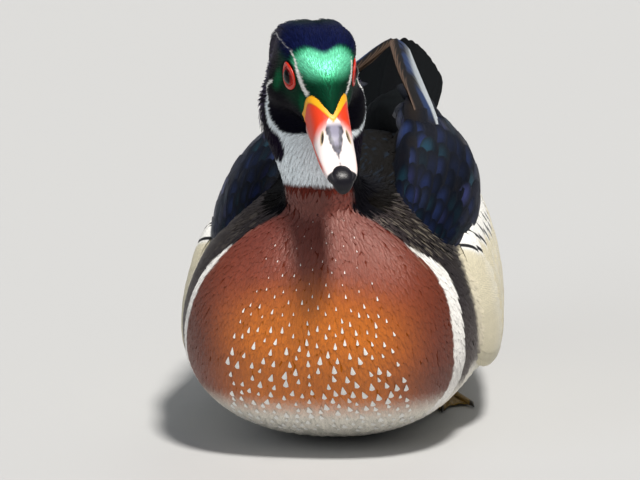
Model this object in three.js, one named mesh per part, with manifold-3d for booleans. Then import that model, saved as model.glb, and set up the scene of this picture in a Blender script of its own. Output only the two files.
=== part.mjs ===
// A wood duck drake at life size, as it floats, set down on the flat of its belly with its feet tucked under.
// Millimetres, +Z up. The bird faces -Y and its left side is +X. The origin is the middle of the belly flat.
import * as THREE from "three";
import { mergeVertices } from "three/addons/utils/BufferGeometryUtils.js";
import Module from "manifold-3d";

const wasm = await Module();
wasm.setup();

// Driving dimensions
const GAP = 0.3; // between neighbouring pieces
const TRUNK_POINTS = 24; // round each section of the trunk
const TRUNK_SECTIONS = 19;
const HEAD_PITCH = 25.3; // degrees, bill down
const HEAD_YAW = 18.9; // degrees, towards the bird's left
const HEAD_ROLL = -1; // degrees
const EYES_AT = [1.5, -133, 165]; // midpoint between the eyes
const EYE_RADIUS = 6.2;
const EYE_OUT = 10.4; // from the middle of the head to the centre of an eye
const LID_RING = 4.9; // from the centre of an eye's disc to the middle of the lid
const LID_THICKNESS = 1.1; // radius of the lid's roll
const NOSTRIL = [4.4, -34, -6.5]; // on the head: out, along, up
const VANE_EDGE = 0.5; // thickness of a feather at its edge
const VANE_SHAFT = 0.9; // thickness of a feather along its shaft
const VANE_ROOT = 1.6; // how deep a feather's root is sunk
const WIDEST_BEND = 40; // degrees that half a feather may reach round a surface
const VANE_TILT = 0.09; // rise across a feather, so that each laps over the next
const TAIL_PAIRS = 5;
const PRIMARIES = 6;
const SEED = 11;
const FLOOR_BLOCK = 600; // side of the block that flattens the belly

const vec = (x = 0, y = 0, z = 0) => new THREE.Vector3(x, y, z);
const { degToRad: rad, lerp } = THREE.MathUtils;
const range = (count) => Array.from({ length: count }, (_, i) => i);
const spread = (i, count) => (count > 1 ? i / (count - 1) : 0.5);

// A repeatable random number from -size to size
let drawn = SEED;
function vary(size) {
  drawn = (drawn * 16807) % 2147483647;
  return (drawn / 2147483647 - 0.5) * 2 * size;
}

// Surfaces

function geometryOf(points, faces) {
  const geometry = new THREE.BufferGeometry().setFromPoints(points);
  geometry.setIndex(faces);
  return facesOut(geometry);
}

function volumeOf(geometry) {
  const p = geometry.getAttribute("position");
  const index = geometry.getIndex();
  const corner = (i) => vec().fromBufferAttribute(p, index.getX(i));
  let volume = 0;
  for (let i = 0; i < index.count; i += 3) {
    volume += corner(i).dot(corner(i + 1).cross(corner(i + 2))) / 6;
  }
  return volume;
}

function facesOut(geometry) {
  if (volumeOf(geometry) < 0) geometry.setIndex(Array.from(geometry.getIndex().array).reverse());
  return geometry;
}

// One of the library's closed shapes, with its shared corners merged and its empty faces dropped.
function welded(shape) {
  shape.deleteAttribute("normal");
  shape.deleteAttribute("uv");
  const merged = mergeVertices(shape, 1e-3);
  const index = Array.from(merged.getIndex().array);
  const faces = [];
  for (let i = 0; i < index.length; i += 3) {
    const [a, b, c] = index.slice(i, i + 3);
    if (a !== b && b !== c && c !== a) faces.push(a, b, c);
  }
  merged.setIndex(faces);
  return facesOut(merged);
}

// The geometry with every vertex moved outwards along its normal.
function grown(geometry, distance) {
  if (!distance) return geometry;
  const larger = geometry.clone();
  larger.computeVertexNormals();
  const p = larger.getAttribute("position");
  const n = larger.getAttribute("normal");
  for (let i = 0; i < p.count; i++) {
    const at = vec().fromBufferAttribute(p, i);
    at.addScaledVector(vec().fromBufferAttribute(n, i), distance);
    p.setXYZ(i, at.x, at.y, at.z);
  }
  larger.deleteAttribute("normal");
  return larger;
}

function mirrored(geometry) {
  return facesOut(geometry.clone().applyMatrix4(new THREE.Matrix4().makeScale(-1, 1, 1)));
}

// The pieces of the bird's left side, or their mirror image for its right side.
const onSide = (side, pieces) => (side > 0 ? pieces : pieces.map(mirrored));

// A closed surface through rings of points, with one point at each end.
function loft(first, rings, last) {
  const around = rings[0].length;
  const points = [first, ...rings.flat(), last];
  const end = points.length - 1;
  const at = (ring, i) => 1 + ring * around + (i % around);
  const faces = [];
  for (let i = 0; i < around; i++) {
    faces.push(0, at(0, i + 1), at(0, i));
    for (let ring = 0; ring + 1 < rings.length; ring++) {
      faces.push(at(ring, i), at(ring, i + 1), at(ring + 1, i + 1));
      faces.push(at(ring, i), at(ring + 1, i + 1), at(ring + 1, i));
    }
    faces.push(end, at(rings.length - 1, i), at(rings.length - 1, i + 1));
  }
  return geometryOf(points, faces);
}

const smoothThrough = (points) => new THREE.CatmullRomCurve3(points, false, "catmullrom", 0.5);

// A surface is a function of t, from 0 to 1 along it, and of the angle round it in degrees.
// This one runs between a top line, a bottom line and a side line, each smooth through the stations.
// A station is [top y, top z, bottom y, bottom z, side x, side y, side z]. The first and last are points.
// squareTop and squareBottom are the powers of the sections, 2 for an ellipse and more for a boxier one.
function bodySurface(stations, { squareTop = 2, squareBottom = 2, shape = (p) => p } = {}) {
  const top = smoothThrough(stations.map((s) => vec(0, s[0], s[1])));
  const bottom = smoothThrough(stations.map((s) => vec(0, s[2], s[3])));
  const side = smoothThrough(stations.map((s) => vec(s[4], s[5], s[6])));
  return (t, degrees) => {
    const [across, up] = [Math.cos(rad(degrees)), Math.sin(rad(degrees))];
    const power = 2 / (up > 0 ? squareTop : squareBottom);
    const out = side.getPoint(t);
    const middle = vec(0, out.y, out.z);
    const reach = (up > 0 ? top : bottom).getPoint(t).sub(middle);
    const point = middle.addScaledVector(reach, Math.abs(up) ** power);
    point.x = out.x * Math.sign(across) * Math.abs(across) ** power;
    return shape(point);
  };
}

// A surface of elliptical sections through stations [x, y, z, half width, half depth, roll in degrees].
// At no roll the angle 0 is towards +X and 90 is upwards. A roll turns the outer edge down.
function limbSurface(stations) {
  const centre = smoothThrough(stations.map((s) => vec(s[0], s[1], s[2])));
  const size = smoothThrough(stations.map((s) => vec(s[3], s[4], s[5])));
  return (t, degrees) => {
    const { x: width, y: depth, z: roll } = size.getPoint(t);
    const along = centre.getTangent(t);
    const across = vec(Math.cos(rad(roll)), 0, -Math.sin(rad(roll)));
    across.addScaledVector(along, -across.dot(along)).normalize();
    const outward = across.clone().cross(along).normalize();
    const point = centre.getPoint(t);
    if (t === 0 || t === 1) return point;
    point.addScaledVector(across, Math.cos(rad(degrees)) * width);
    return point.addScaledVector(outward, Math.sin(rad(degrees)) * depth);
  };
}

// The first part of a surface, with a blunt end.
function firstPart(surface, end) {
  return (t, degrees) => {
    if (t < 1) return surface(t * end, degrees);
    return surface(end, 0).lerp(surface(end, 180), 0.5);
  };
}

// A closed form on a surface, in even steps along it and round it.
function formOn(surface, count, around) {
  const rings = [];
  for (let k = 1; k <= count; k++) {
    const ring = [];
    for (let i = 0; i < around; i++) ring.push(surface(k / (count + 1), (i / around) * 360));
    rings.push(ring);
  }
  return loft(surface(0, 0), rings, surface(1, 0));
}

// Solids

function solidOf(geometry) {
  return new wasm.Manifold(
    new wasm.Mesh({
      numProp: 3,
      vertProperties: Float32Array.from(geometry.getAttribute("position").array),
      triVerts: Uint32Array.from(geometry.getIndex().array),
    }),
  );
}

function joined(pieces, growth = 0) {
  return pieces
    .map((piece) => solidOf(grown(piece, growth)))
    .reduce((whole, piece) => whole.add(piece));
}

// The largest closed surface of a solid, as a geometry.
function geometryFrom(solid) {
  const largest = solid
    .decompose()
    .reduce((best, piece) => (piece.volume() > best.volume() ? piece : best));
  const mesh = largest.getMesh();
  const geometry = new THREE.BufferGeometry();
  geometry.setAttribute("position", new THREE.BufferAttribute(mesh.vertProperties, 3));
  geometry.setIndex(new THREE.BufferAttribute(mesh.triVerts, 1));
  return geometry;
}

// The pieces joined into one solid, cut clear of each list of neighbouring pieces.
function fitted(pieces, neighbours, holes = []) {
  let solid = joined(pieces);
  for (const neighbour of neighbours) solid = solid.subtract(joined(neighbour, GAP));
  for (const hole of holes) solid = solid.subtract(solidOf(hole));
  return geometryFrom(solid);
}

// The trunk, breast first

const TRUNK = [
  [-150, 60, -150, 60, 0, -150, 60],
  [-147.5, 78, -147.5, 42, 27, -146, 56],
  [-139, 94, -139, 24, 45, -136, 53],
  [-124, 106, -121, 9, 57, -118, 50],
  [-96, 113, -94, 1, 63, -93, 49],
  [-55, 115, -55, -2.5, 65, -55, 50],
  [-8, 114, -8, -2.5, 61.5, -8, 52],
  [38, 108, 36, 1, 53, 37, 57],
  [74, 99, 70, 13, 42, 72, 65],
  [100, 94, 96, 32, 31, 98, 74],
  [120, 93, 117, 53, 22, 118, 82],
  [135, 95, 133, 71, 14, 134, 88],
  [146, 96, 145, 84, 8, 145, 92],
  [151, 93, 151, 93, 0, 151, 93],
];

const trunkSurface = bodySurface(TRUNK, { squareTop: 1.8, squareBottom: 2.2 });

// All that lies below the level on which the bird rests.
function belowFloor() {
  const block = new THREE.BoxGeometry(FLOOR_BLOCK, FLOOR_BLOCK, FLOOR_BLOCK);
  return welded(block.translate(0, 0, -FLOOR_BLOCK / 2));
}

// The neck, from inside the trunk up to the back of the head

const NECK = [
  [0, -92, 66, 42, 38, 0],
  [0, -98, 83, 36, 33, 0],
  [0, -104, 98, 26, 27, 0],
  [-1, -111, 112, 16.5, 19, 0],
  [-2.5, -111, 126, 18.5, 20, 0],
  [-4.5, -108, 139, 22, 19, 0],
  [-5, -107, 151, 22, 17, 0],
  [-5, -108, 160, 17, 13, 0],
  [-5, -108, 166, 8, 6, 0],
];

const neckSurface = limbSurface(NECK);

// The head is made level, facing -Y, with its origin between the eyes, and then turned into its pose

const headPlace = new THREE.Matrix4()
  .makeRotationFromEuler(new THREE.Euler(rad(HEAD_PITCH), rad(HEAD_ROLL), rad(HEAD_YAW), "ZXY"))
  .setPosition(...EYES_AT);
const onHead = (geometry) => geometry.clone().applyMatrix4(headPlace);

const SKULL = [
  [-16.5, -6, -16.5, -6, 0, -16.5, -6],
  [-16.5, 1, -15.5, -12.5, 6.8, -16, -6.5],
  [-13.5, 8, -12.5, -17.5, 9.6, -13, -6.5],
  [-8, 12.2, -7, -21, 12.3, -8, -6],
  [0, 14.4, 1, -24.5, 14.4, 0, -6],
  [9, 14.9, 8, -27.5, 15.9, 8, -6.5],
  [18, 13, 15, -31, 16.4, 16, -8],
  [26, 8, 22, -33, 15.6, 24, -9],
  [33, 0.5, 29, -31, 12, 31, -11],
  [38, -9, 36, -22, 6, 37, -14],
  [39.5, -15, 39.5, -15, 0, 39.5, -15],
];

// Swellings and hollows of the skull: where, how far each reaches, and how far it pushes out.
const SKULL_FORMS = [
  { at: [16, 12, -21], reach: 12, push: 4.5 }, // cheek
  { at: [15, 10, 10], reach: 9, push: 1.8 }, // corner of the crown
  { at: [14, -1, 0], reach: 6, push: -0.8 }, // about the eye
];

function swollen(point) {
  const side = Math.sign(point.x);
  const moved = point.clone();
  for (const { at, reach, push } of SKULL_FORMS) {
    const distance = point.distanceTo(vec(at[0] * side, at[1], at[2]));
    moved.x += side * push * Math.exp(-((distance / reach) ** 2));
  }
  return moved;
}

const skullSurface = bodySurface(SKULL, { squareTop: 3, squareBottom: 2.1, shape: swollen });

// The feathered point of the forehead, between the two arms of the bill's base
const FOREHEAD = [
  [0, 6, 0, 6, 0, 0, 6],
  [-6, 13, -6, -6, 11.6, -6, 3],
  [-12, 10.9, -12, -6, 8.9, -12, 3],
  [-17, 8.1, -17, -6, 6.1, -17, 2],
  [-22, 4.4, -22, -6, 3.5, -22, 0.2],
  [-26, 1, -26, -6, 1.5, -26, -1.5],
  [-28.2, -2, -28.2, -2, 0, -28.2, -2],
];

const foreheadSurface = bodySurface(FOREHEAD, { squareTop: 2.4, squareBottom: 4 });

function lid(side) {
  const ring = new THREE.TorusGeometry(LID_RING, LID_THICKNESS, 5, 14);
  ring.rotateY(Math.PI / 2);
  ring.translate(side * (EYE_OUT + 3.6), 0, 0);
  return welded(ring);
}

function eyeball(side) {
  const ball = new THREE.SphereGeometry(EYE_RADIUS, 14, 8);
  ball.rotateZ(Math.PI / 2);
  ball.translate(side * EYE_OUT, 0, 0);
  return welded(ball);
}

// The bill, hooked at its tip by the nail

const UPPER_BILL = [
  [-6, -6, -6, -6, 0, -6, -6],
  [-8, 4.6, -8, -14, 9.9, -8, -6],
  [-13, 3.8, -13, -15, 9.9, -13, -7.5],
  [-19, 1.6, -18, -15.2, 9.1, -18, -9.5],
  [-28, -1.6, -27, -15.2, 8.5, -27, -11.5],
  [-37, -6.6, -36, -14.8, 8.1, -36, -12.5],
  [-45, -9.6, -44, -14.8, 7.7, -44, -12.8],
  [-51.5, -11, -51, -15, 6.8, -51.5, -13.2],
  [-56.8, -12.8, -56, -15.8, 4.4, -56.5, -14.2],
  [-58.8, -16, -58.8, -16, 0, -58.8, -16],
];

const NAIL = [
  [-47.7, -12, -47.7, -12, 0, -47.7, -12],
  [-50, -10.5, -49, -14.5, 3.6, -49.5, -12.5],
  [-53.5, -10.7, -53, -16, 5, -53.5, -13.5],
  [-57, -12.4, -56.5, -18, 4.2, -57, -14.8],
  [-59.2, -15.4, -58.4, -19, 2.2, -59, -17],
  [-59, -18.6, -59, -18.6, 0, -59, -18.6],
];

const LOWER_BILL = [
  [-8, -18, -8, -18, 0, -8, -18],
  [-12, -15.6, -13, -21, 7.4, -13, -17],
  [-25, -15.4, -25, -19.8, 7.2, -25, -16.8],
  [-38, -15, -38, -18.4, 6.8, -38, -16],
  [-50, -15.2, -50, -17.6, 5.6, -50, -16],
  [-55.4, -16.4, -55.4, -16.4, 0, -55.4, -16.4],
];

const upperSurface = bodySurface(UPPER_BILL, { squareTop: 2.8, squareBottom: 5 });
const nailSurface = bodySurface(NAIL, { squareTop: 2.2, squareBottom: 2.2 });
const lowerSurface = bodySurface(LOWER_BILL, { squareTop: 5, squareBottom: 2 });

function nostril(side) {
  const hole = new THREE.SphereGeometry(1, 8, 5);
  hole.scale(1.5, 2.9, 1.3);
  hole.translate(side * NOSTRIL[0], NOSTRIL[1], NOSTRIL[2]);
  return welded(hole);
}

// Feathers and locks

// Where along a vane its sections lie, and how wide each is.
const QUILL = { steps: [0, 0.3, 0.62, 0.87, 1], widths: [0.5, 0.92, 1, 0.76, 0.22] };
const BLUNT = { steps: [0, 0.45, 0.88, 1], widths: [0.5, 0.95, 0.9, 0.35] };
const COVERT = { steps: [0, 0.42, 0.8, 1], widths: [0.55, 1, 0.85, 0.25] };
const LOCK = { steps: [0, 0.4, 0.75, 1], widths: [0.7, 1, 0.7, 0.12] };

// A thin vane through sections of three points {at, up, thickness}: left edge, shaft, right edge.
// It is split into triangles alike on both faces.
function vane(sections) {
  const points = sections.flat();
  const shifted = (sign) =>
    points.map(({ at, up, thickness }) => at.clone().addScaledVector(up, (sign * thickness) / 2));
  const below = points.length;
  const faces = [];
  const wall = (a, b) => faces.push(a, b, b + below, a, b + below, a + below);
  for (let k = 0; k < below - 3; k += 3) {
    for (const a of [k, k + 1]) {
      const [b, c, d] = [a + 1, a + 3, a + 4];
      faces.push(a, b, d, a, d, c);
      faces.push(b + below, a + below, d + below, d + below, a + below, c + below);
    }
    wall(k, k + 3);
    wall(k + 5, k + 2);
  }
  wall(1, 0);
  wall(2, 1);
  wall(below - 3, below - 2);
  wall(below - 2, below - 1);
  return geometryOf([...shifted(1), ...shifted(-1)], faces);
}

// The outward direction of a surface.
function outwards(surface, t, degrees) {
  const here = surface(t, degrees);
  const round = surface(t, degrees + 2).sub(surface(t, degrees - 2));
  const along = surface(Math.min(t + 0.01, 0.999), degrees).sub(surface(t - 0.01, degrees));
  const normal = round.cross(along).normalize();
  const away = here.clone().sub(surface(t, degrees + 180));
  return normal.dot(away) < 0 ? normal.negate() : normal;
}

// A vane on a surface, from one [t, degrees] to another, sunk at its root and rising to its tip.
// It bends round the surface, one edge lower than the other.
function laid(surface, from, to, { outline = COVERT, width, lift, tilt = VANE_TILT }) {
  const sections = outline.steps.map((s, k) => {
    const [t, degrees] = [lerp(from[0], to[0], s), lerp(from[1], to[1], s)];
    const half = (width / 2) * outline.widths[k];
    const perDegree = surface(t, degrees + 1).distanceTo(surface(t, degrees - 1)) / 2;
    return [-1, 0, 1].map((column) => {
      const angle = degrees + column * Math.min(half / perDegree, WIDEST_BEND);
      const up = outwards(surface, t, angle);
      const height = lerp(-VANE_ROOT, lift, s) + column * half * tilt;
      const thickness = column ? VANE_EDGE : VANE_SHAFT;
      return { at: surface(t, angle).addScaledVector(up, height), up, thickness };
    });
  });
  return vane(sections);
}

// A vane along a free curve with one upper direction, rolled about its shaft by a few degrees.
function free(curve, face, { outline = QUILL, width, roll = 0, shaft = VANE_SHAFT }) {
  const sections = outline.steps.map((s, k) => {
    const half = (width / 2) * outline.widths[k];
    const along = curve.getTangent(s);
    const across = along.clone().cross(face).normalize().applyAxisAngle(along, rad(roll));
    const up = across.clone().cross(along).normalize();
    return [-1, 0, 1].map((column) => ({
      at: curve.getPoint(s).addScaledVector(across, column * half),
      up,
      thickness: column ? VANE_EDGE : shaft,
    }));
  });
  return vane(sections);
}

// The crest, from the back of the crown down over the nape. Its locks lie on this shape.

const CREST = [
  [8, 14, 8, 14, 0, 8, 14],
  [16, 14, 14, 5, 11.5, 15, 8],
  [26, 9, 22, -6, 14, 24, 0],
  [36, 0.8, 30, -20, 15, 33, -11],
  [44, -9, 35, -31, 14, 40, -22],
  [49.5, -20, 40, -38, 11, 45, -31],
  [52, -32, 46, -43, 6.5, 50, -39],
  [52, -45, 52, -45, 0, 52, -45],
];

const crestSurface = bodySurface(CREST, { squareTop: 2.4, squareBottom: 2 });
const CREST_CORE = 0.58; // how far along the crest its core reaches

// Rows of locks: how many, where they start and end along the crest, how many degrees they spread to
// each side, and their width.
const CREST_ROWS = [
  { count: 5, from: 0.08, to: 0.5, round: 62, width: 10 },
  { count: 4, from: 0.24, to: 0.74, round: 68, width: 11.5 },
  { count: 4, from: 0.4, to: 0.95, round: 58, width: 11 },
];
const CREST_LIFT = 1.4;

function crestLocks() {
  return CREST_ROWS.flatMap(({ count, from, to, round, width }) =>
    range(count).map((i) => {
      const side = lerp(1, -1, spread(i, count));
      const end = to - 0.06 * side * side + vary(0.02);
      const degrees = 90 + round * side;
      return laid(crestSurface, [from, degrees], [end, degrees], {
        outline: LOCK,
        width: width + vary(0.6),
        lift: CREST_LIFT,
      });
    }),
  );
}

// The wings, folded, each with its wrist at the shoulder and its tip over the rump

const WING_PAD = [
  [36, -112, 84, 4, 3, 40],
  [37, -98, 87, 14, 6, 44],
  [38, -70, 92, 19, 9, 46],
  [37, -35, 97, 22, 11, 46],
  [34, 0, 101.5, 20, 11, 42],
  [28, 32, 105, 16, 8, 34],
  [20, 60, 107, 11, 4.5, 28],
  [12, 82, 106.5, 3, 2, 20],
];

const wingSurface = limbSurface(WING_PAD);

// The line of the folded primaries, from inside the pad to the wing's tip
const PRIMARY_LINE = [
  [38, -24, 104],
  [35, -8, 111],
  [28, 22, 117],
  [16, 62, 123.5],
  [7, 97, 129.5],
  [3, 112, 131.5],
].map((p) => vec(...p));
const PRIMARY_FACE = vec(0.32, -0.1, 0.94).normalize();
const PRIMARY_SPACING = 1.05;

// The longest lies lowest and outermost, and each next one is shorter, above it and further in.
function primaries() {
  const line = smoothThrough(PRIMARY_LINE);
  return range(PRIMARIES).map((i) => {
    const shift = PRIMARY_FACE.clone().multiplyScalar(PRIMARY_SPACING * i).add(vec(-0.8 * i, 0, 0));
    const points = range(6).map((k) => line.getPoint((k / 5) * (1 - 0.075 * i)).add(shift));
    return free(smoothThrough(points), PRIMARY_FACE, { width: 11 - 0.3 * i, shaft: 0.7 });
  });
}

// Tiers of feathers on the wing, front to rear: where they start and end, how many, and their width.
const WING_TIERS = [
  { from: 0.04, to: 0.38, count: 3, width: 16 },
  { from: 0.21, to: 0.58, count: 4, width: 14 },
  { from: 0.4, to: 0.78, count: 4, width: 13.5 },
  { from: 0.6, to: 0.97, count: 3, width: 12 },
];
const WING_SPAN = [12, 168]; // degrees round the wing, from its lower edge to its upper one
const WING_LIFT = 2.4;

function wingCoverts() {
  return WING_TIERS.flatMap(({ from, to, count, width }, row) =>
    range(count).map((i) => {
      const degrees = lerp(...WING_SPAN, (i + 0.5 + (row % 2 ? 0.2 : -0.2)) / count);
      return laid(wingSurface, [from, degrees], [to + vary(0.012), degrees + vary(2)], {
        width: width + vary(0.6),
        lift: WING_LIFT,
      });
    }),
  );
}

// The long tertials, over the rear end of the wing
const TERTIALS = 3;

function tertials() {
  return range(TERTIALS).map((i) => {
    const out = 5 * i;
    const curve = smoothThrough([
      vec(27 + out, 12 - 4 * i, 109 - 2.2 * i),
      vec(24 + out, 36 - 4 * i, 118 - 2.8 * i),
      vec(17 + 0.8 * out, 62 - 5 * i, 119 - 2.8 * i),
      vec(11 + 0.7 * out, 86 - 7 * i, 118.5 - 2.4 * i),
    ]);
    return free(curve, vec(0.25 + 0.2 * i, 0, 1), { outline: BLUNT, width: 15 });
  });
}

// The flank, in front of and below the wing, with its long barred feathers along the upper rear edge

const FLANK = [
  [54, -98, 57, 3, 3, 82],
  [56, -84, 56, 22, 7, 80],
  [57, -55, 56, 31, 10, 78],
  [54, -15, 57, 30, 9.5, 77],
  [50, 18, 60, 26, 9, 74],
  [44.5, 46, 65, 21, 8.5, 70],
  [37.5, 72, 71, 15, 7.5, 64],
  [31, 86, 75, 4, 3, 60],
];

const flankSurface = limbSurface(FLANK);
const FLANK_CORE = 0.66; // how far along the flank its core reaches
const FLANK_TIERS = [
  { from: 0.3, to: 0.66, count: 3, width: 17 },
  { from: 0.46, to: 0.83, count: 3, width: 16.5 },
  { from: 0.58, to: 0.98, count: 3, width: 14 },
];
const FLANK_SPAN = [36, 152]; // degrees round the flank, from its lower edge to its upper one
const FLANK_LIFT = 1.8;

function flankFeathers() {
  return FLANK_TIERS.flatMap(({ from, to, count, width }) =>
    range(count).map((i) => {
      const degrees = lerp(...FLANK_SPAN, (i + 0.5) / count);
      return laid(flankSurface, [from, degrees], [to + vary(0.015), degrees], {
        width: width + vary(0.6),
        lift: FLANK_LIFT,
      });
    }),
  );
}

// The tail, cocked and closed, its middle pair of feathers on top

const TAIL_ROOT = [1, 102, 87];
const TAIL_MIDDLE = [2, 146, 102];
const TAIL_TIP = [3, 196, 118];
const TAIL_FACE = vec(0, -0.31, 0.95).normalize();

const TAIL_BASE = [
  [1, 96, 84, 8, 5, 0],
  [1.2, 108, 88, 13, 7, 0],
  [1.6, 124, 93.5, 14.5, 6, 0],
  [2, 138, 98.5, 12, 4, 0],
  [2.2, 148, 102, 4, 1.5, 0],
];

const tailSurface = limbSurface(TAIL_BASE);

const TAIL_WIDTH = 13.5; // of one feather
const TAIL_SPACING = 1.1; // from one feather down to the next
const TAIL_ROLL = 8; // degrees that the side feathers fall away from the middle one

// The middle feather lies on top, and each pair lies under the one before it and further out.
function tailFeathers() {
  const feather = (pair, side) => {
    const out = side * (0.7 + 2.35 * pair);
    const down = TAIL_FACE.clone().multiplyScalar(-TAIL_SPACING * pair);
    const curve = smoothThrough([
      vec(...TAIL_ROOT).add(vec(0.5 * out, 0, 0)).addScaledVector(down, 0.5),
      vec(...TAIL_MIDDLE).add(vec(0.9 * out, 0, 0)).add(down),
      vec(...TAIL_TIP).add(vec(1.1 * out, -0.6 * pair * pair, -0.22 * pair * pair)).add(down),
    ]);
    const roll = side * TAIL_ROLL;
    return free(curve, TAIL_FACE, { outline: BLUNT, width: TAIL_WIDTH, roll, shaft: 0.7 });
  };
  const pairs = range(TAIL_PAIRS).flatMap((i) => [feather(i + 1, 1), feather(i + 1, -1)]);
  return [feather(0, 0), ...pairs];
}

// Tiers of coverts over the roots of the tail feathers
const TAIL_TIERS = [
  { from: 0.12, to: 0.62, count: 2 },
  { from: 0.36, to: 0.96, count: 3 },
];
const TAIL_COVERTS = [38, 142]; // degrees round the tail's base
const COVERT_WIDTH = 14;
const COVERT_LIFT = 1.6;

function tailCoverts() {
  return TAIL_TIERS.flatMap(({ from, to, count }) =>
    range(count).map((i) => {
      const degrees = lerp(...TAIL_COVERTS, (i + 0.5) / count);
      return laid(tailSurface, [from, degrees], [to + vary(0.02), degrees], {
        width: COVERT_WIDTH + vary(0.5),
        lift: COVERT_LIFT,
      });
    }),
  );
}

// The coverts under the tail, on the end of the trunk
const UNDER_COVERTS = 3;
const UNDER_SPREAD = 44; // degrees to each side of the keel
const UNDER_TIP = [168, 97]; // how far back and how high the middle one reaches
const UNDER_WIDTH = 18;

function underCoverts() {
  return range(UNDER_COVERTS).map((i) => {
    const side = lerp(-1, 1, spread(i, UNDER_COVERTS));
    const degrees = 270 + UNDER_SPREAD * side;
    const root = trunkSurface(0.84, degrees);
    const up = outwards(trunkSurface, 0.9, degrees);
    const middle = trunkSurface(0.93, degrees).addScaledVector(up, 1.2);
    const tip = vec(9 * side, UNDER_TIP[0] - 9 * side * side, UNDER_TIP[1] - 1.5 * side * side);
    const curve = smoothThrough([root.addScaledVector(up, -3), middle, tip]);
    return free(curve, up, { outline: COVERT, width: UNDER_WIDTH, roll: 4 });
  });
}

// The feet, folded under the belly with the toes pointing forwards

const SHANK = [
  [34, 44, 9, 3, 3, 0],
  [34, 38, 7, 4, 4, 0],
  [35, 22, 4.4, 3.2, 3.2, 0],
  [37, 6, 3, 4, 3.2, 0],
  [37, 0, 2.6, 2, 2, 0],
];

const TOE_JOINT = [37, 4]; // where the toes meet, seen from above
const TOES = [
  { length: 40, turn: 14, thick: 1.9 },
  { length: 46, turn: -6, thick: 2.1 },
  { length: 38, turn: -27, thick: 1.9 },
];
const TOE_LEVEL = 1.7; // height of a toe's middle line
const WEB_THICKNESS = 1.1;
const CLAW = 5; // length of the claw past the web

const toeAt = ({ turn }, reach) =>
  vec(TOE_JOINT[0] - Math.sin(rad(turn)) * reach, TOE_JOINT[1] - Math.cos(rad(turn)) * reach, TOE_LEVEL);

function toe(shape) {
  const station = (reach, size, level = TOE_LEVEL) => {
    const at = toeAt(shape, reach);
    return [at.x, at.y, level, size, size, 0];
  };
  return limbSurface([
    station(-4, shape.thick * 0.8),
    station(4, shape.thick),
    station(shape.length * 0.5, shape.thick * 0.8),
    station(shape.length - CLAW, shape.thick * 0.75),
    station(shape.length - CLAW * 0.4, 0.9, 1.3),
    station(shape.length, 0.4, 0.8),
  ]);
}

// The webs, with a hollow front edge between each two toes
function web() {
  const [inner, middle, outer] = TOES.map((shape) => toeAt(shape, shape.length - CLAW));
  const outline = new THREE.Shape();
  outline.moveTo(TOE_JOINT[0], TOE_JOINT[1]);
  outline.lineTo(inner.x, inner.y);
  for (const [a, b] of [[inner, middle], [middle, outer]]) {
    const dip = a.clone().add(b).multiplyScalar(0.5).lerp(vec(...TOE_JOINT, 0), 0.22);
    outline.quadraticCurveTo(dip.x, dip.y, b.x, b.y);
  }
  outline.closePath();
  const plate = new THREE.ExtrudeGeometry(outline, {
    depth: WEB_THICKNESS,
    bevelEnabled: false,
    curveSegments: 4,
  });
  return welded(plate.translate(0, 0, 0.6));
}

const HIND_TOE = [
  [36, 8, 3.4, 1.6, 1.6, 0],
  [33, 13, 2.4, 1.6, 1.6, 0],
  [30, 20, 1.4, 1, 1, 0],
  [29, 23, 1, 0.5, 0.5, 0],
];

// The pieces, each a list of closed forms

const trunkPieces = [formOn(trunkSurface, TRUNK_SECTIONS, TRUNK_POINTS), ...underCoverts()];
const neckPieces = [formOn(neckSurface, 11, 20)];
const headPieces = [
  formOn(skullSurface, 13, 20),
  formOn(foreheadSurface, 6, 10),
  lid(1),
  lid(-1),
].map(onHead);
const upperPieces = [formOn(upperSurface, 11, 16), formOn(nailSurface, 5, 10)].map(onHead);
const lowerPieces = [onHead(formOn(lowerSurface, 6, 10))];
const eyePieces = (side) => [onHead(eyeball(side))];
const crestCore = formOn(firstPart(crestSurface, CREST_CORE), 5, 12);
const crestPieces = [crestCore, ...crestLocks()].map(onHead);
const padPiece = formOn(wingSurface, 8, 12);
const wingPieces = [padPiece, ...wingCoverts(), ...tertials(), ...primaries()];
const flankCore = formOn(firstPart(flankSurface, FLANK_CORE), 8, 14);
const flankPieces = [flankCore, ...flankFeathers()];
const tailPieces = [formOn(tailSurface, 6, 12), ...tailFeathers(), ...tailCoverts()];
const legPieces = [
  formOn(limbSurface(SHANK), 5, 8),
  ...TOES.map((shape) => formOn(toe(shape), 5, 6)),
  formOn(limbSurface(HIND_TOE), 3, 6),
  web(),
];

const group = new THREE.Group();

function add(name, geometry, { color, roughness, metalness = 0 }) {
  const mesh = new THREE.Mesh(
    geometry,
    new THREE.MeshStandardMaterial({ color, roughness, metalness }),
  );
  mesh.name = name;
  group.add(mesh);
}

const CHESTNUT = { color: 0x7a3020, roughness: 0.6 };
const WHITE = { color: 0xe8e6e0, roughness: 0.75 };
const GREEN = { color: 0x12452f, roughness: 0.35, metalness: 0.3 };
const BLACK = { color: 0x15141f, roughness: 0.45, metalness: 0.2 };
const BUFF = { color: 0xd9c9a0, roughness: 0.75 };
const PALE_BILL = { color: 0xd8c0b8, roughness: 0.3 };
const RED_EYE = { color: 0x8a1010, roughness: 0.08 };
const FOOT = { color: 0xb98a35, roughness: 0.5 };

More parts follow.
